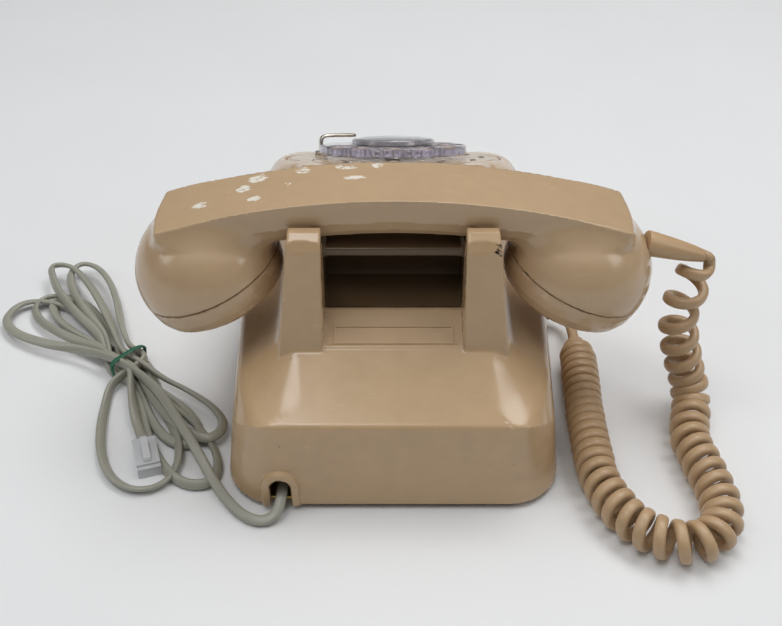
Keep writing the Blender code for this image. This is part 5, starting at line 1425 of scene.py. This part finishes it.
makeCapsules(capsule)
makeBoot(curlyCord)
makeGongs(gong)
terminals = {
    "outline": [(0, 0.0010), (0.0007, 0.0008), (0.0015, 0.0009), (0.0021, 0.0004), (0.0021, -0.0002),
                (0, -0.0002)],
    "circle": 0.0184, "circleStep": 0.0080, "start": 28, "startStep": 8, "screws": 4,
}
stripLow, stripHigh = [Vector(corner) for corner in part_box("terminal_strip")]
stripMiddle = (stripLow + stripHigh) / 2
for row in (0, 1):
    screwItem = simpleItem("screwItem", terminals["outline"], 16)
    rowPlace = Matrix.Translation((stripMiddle.x, stripMiddle.y, stripHigh.z))
    makeRing(f"terminalScrews{row + 1}", screwItem, finishes["brass"], "telephone_base", rowPlace,
             terminals["screws"], terminals["circle"] - terminals["circleStep"] * row,
             math.radians(terminals["start"] + terminals["startStep"] * row), math.pi / 2)
print("inside pieces made")


# ---- plain raised frame on the recess panel

panelFrame = {"halfWide": 0.0258, "near": 0.0010, "far": 0.0084, "line": 0.0009, "rise": 0.0006}


def makePanelFrame(size):
    rear, front = [Vector((0, *spot)) for spot in pocketOutline[1:3]]
    up = (front - rear).normalized()
    out = up.cross(Vector((1, 0, 0))).normalized()
    if out.z < 0:
        out = -out
    points, faces = [], []
    for level in (-0.0003, size["rise"]):
        for grow in (0.0, size["line"]):
            for cornerX, cornerS in ((-1, 0), (1, 0), (1, 1), (-1, 1)):
                along = size["near"] - grow if cornerS == 0 else size["far"] + grow
                spot = rear + up * along + out * level
                points.append((cornerX * (size["halfWide"] + grow), spot.y, spot.z))
    for i in range(4):
        j = (i + 1) % 4
        faces += [(i, j, 4 + j, 4 + i), (8 + i, 12 + i, 12 + j, 8 + j), (i, 8 + i, 8 + j, j),
                  (4 + i, 4 + j, 12 + j, 12 + i)]
    mesh = bpy.data.meshes.new("panelFrame")
    mesh.from_pydata(points, [], faces)
    piece = finishedMesh("panelFrame", mesh, 30)
    soften = piece.modifiers.new("soften", "BEVEL")
    soften.width, soften.segments = 0.0001, 2
    dress(piece, bpy.data.materials["housingPlastic"], "telephone_base")


makePanelFrame(panelFrame)
print("panel frame made")


# ---- curly cord's placement baked into its mesh

def declareCords():
    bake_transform(curlyPiece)


declareCords()


# ---- stage

def makeStage():
    floor = bpy.data.meshes.new("deskTop")
    floor.from_pydata([(-3, -3, 0), (3, -3, 0), (3, 3, 0), (-3, 3, 0)], [], [(0, 1, 2, 3)])
    desk = bpy.data.objects.new("deskTop", floor)
    bpy.context.scene.collection.objects.link(desk)
    material, tree, shader = startMaterial("deskPaper")
    place = ownPlace(tree)
    cloud = noiseOn(tree, place, 9.0, 3.0)
    tree.links.new(tint(tree, cloud, linear(230, 231, 232), linear(236, 237, 238)),
                   shader.inputs["Base Color"])
    grain = noiseOn(tree, place, 900.0, 3.0)
    useBump(tree, shader, grain, 0.15, 0.0005)
    shader.inputs["Roughness"].default_value = 0.6
    desk.data.materials.append(material)


makeStage()

lights = [
    {"name": "ceilingPanelNear", "place": (0.35, 0.35, 1.45), "aim": (0.0, 0.0, 0.05), "size": (0.9, 0.35),
     "power": 4.6},
    {"name": "ceilingPanelFar", "place": (-0.45, -0.45, 1.45), "aim": (0.0, 0.0, 0.05), "size": (1.4, 0.6),
     "power": 11.0},
    {"name": "roomCeiling", "place": (0.0, 0.0, 3.0), "aim": (0.0, 0.0, 0.0), "size": (6.0, 6.0),
     "power": 54.0},
    {"name": "windowLeft", "place": (1.3, 0.3, 0.8), "aim": (0.0, 0.0, 0.05), "size": (0.5, 0.5),
     "power": 2.0},
    {"name": "windowRight", "place": (-1.2, 0.5, 0.9), "aim": (0.0, 0.0, 0.05), "size": (0.5, 0.5),
     "power": 2.2},
]


def makeLights(rows):
    for row in rows:
        data = bpy.data.lights.new(row["name"], "AREA")
        data.shape = "RECTANGLE"
        data.size, data.size_y = row["size"]
        data.energy = row["power"]
        lamp = bpy.data.objects.new(row["name"], data)
        lamp.location = row["place"]
        aim = Vector(row["aim"]) - Vector(row["place"])
        lamp.rotation_euler = aim.to_track_quat("-Z", "Y").to_euler()
        bpy.context.scene.collection.objects.link(lamp)
    world = bpy.data.worlds.new("roomLight")
    world.use_nodes = True
    backdrop = world.node_tree.nodes["Background"]
    backdrop.inputs["Color"].default_value = (0.93, 0.96, 1.0, 1.0)
    tree = world.node_tree
    seen = addNode(tree, "ShaderNodeLightPath").outputs["Is Camera Ray"]
    tree.links.new(spread(tree, seen, 0.0, 1.0, 0.06, 0.66), backdrop.inputs["Strength"])
    bpy.context.scene.world = world


makeLights(lights)
bpy.context.scene.view_settings.view_transform = "Standard"
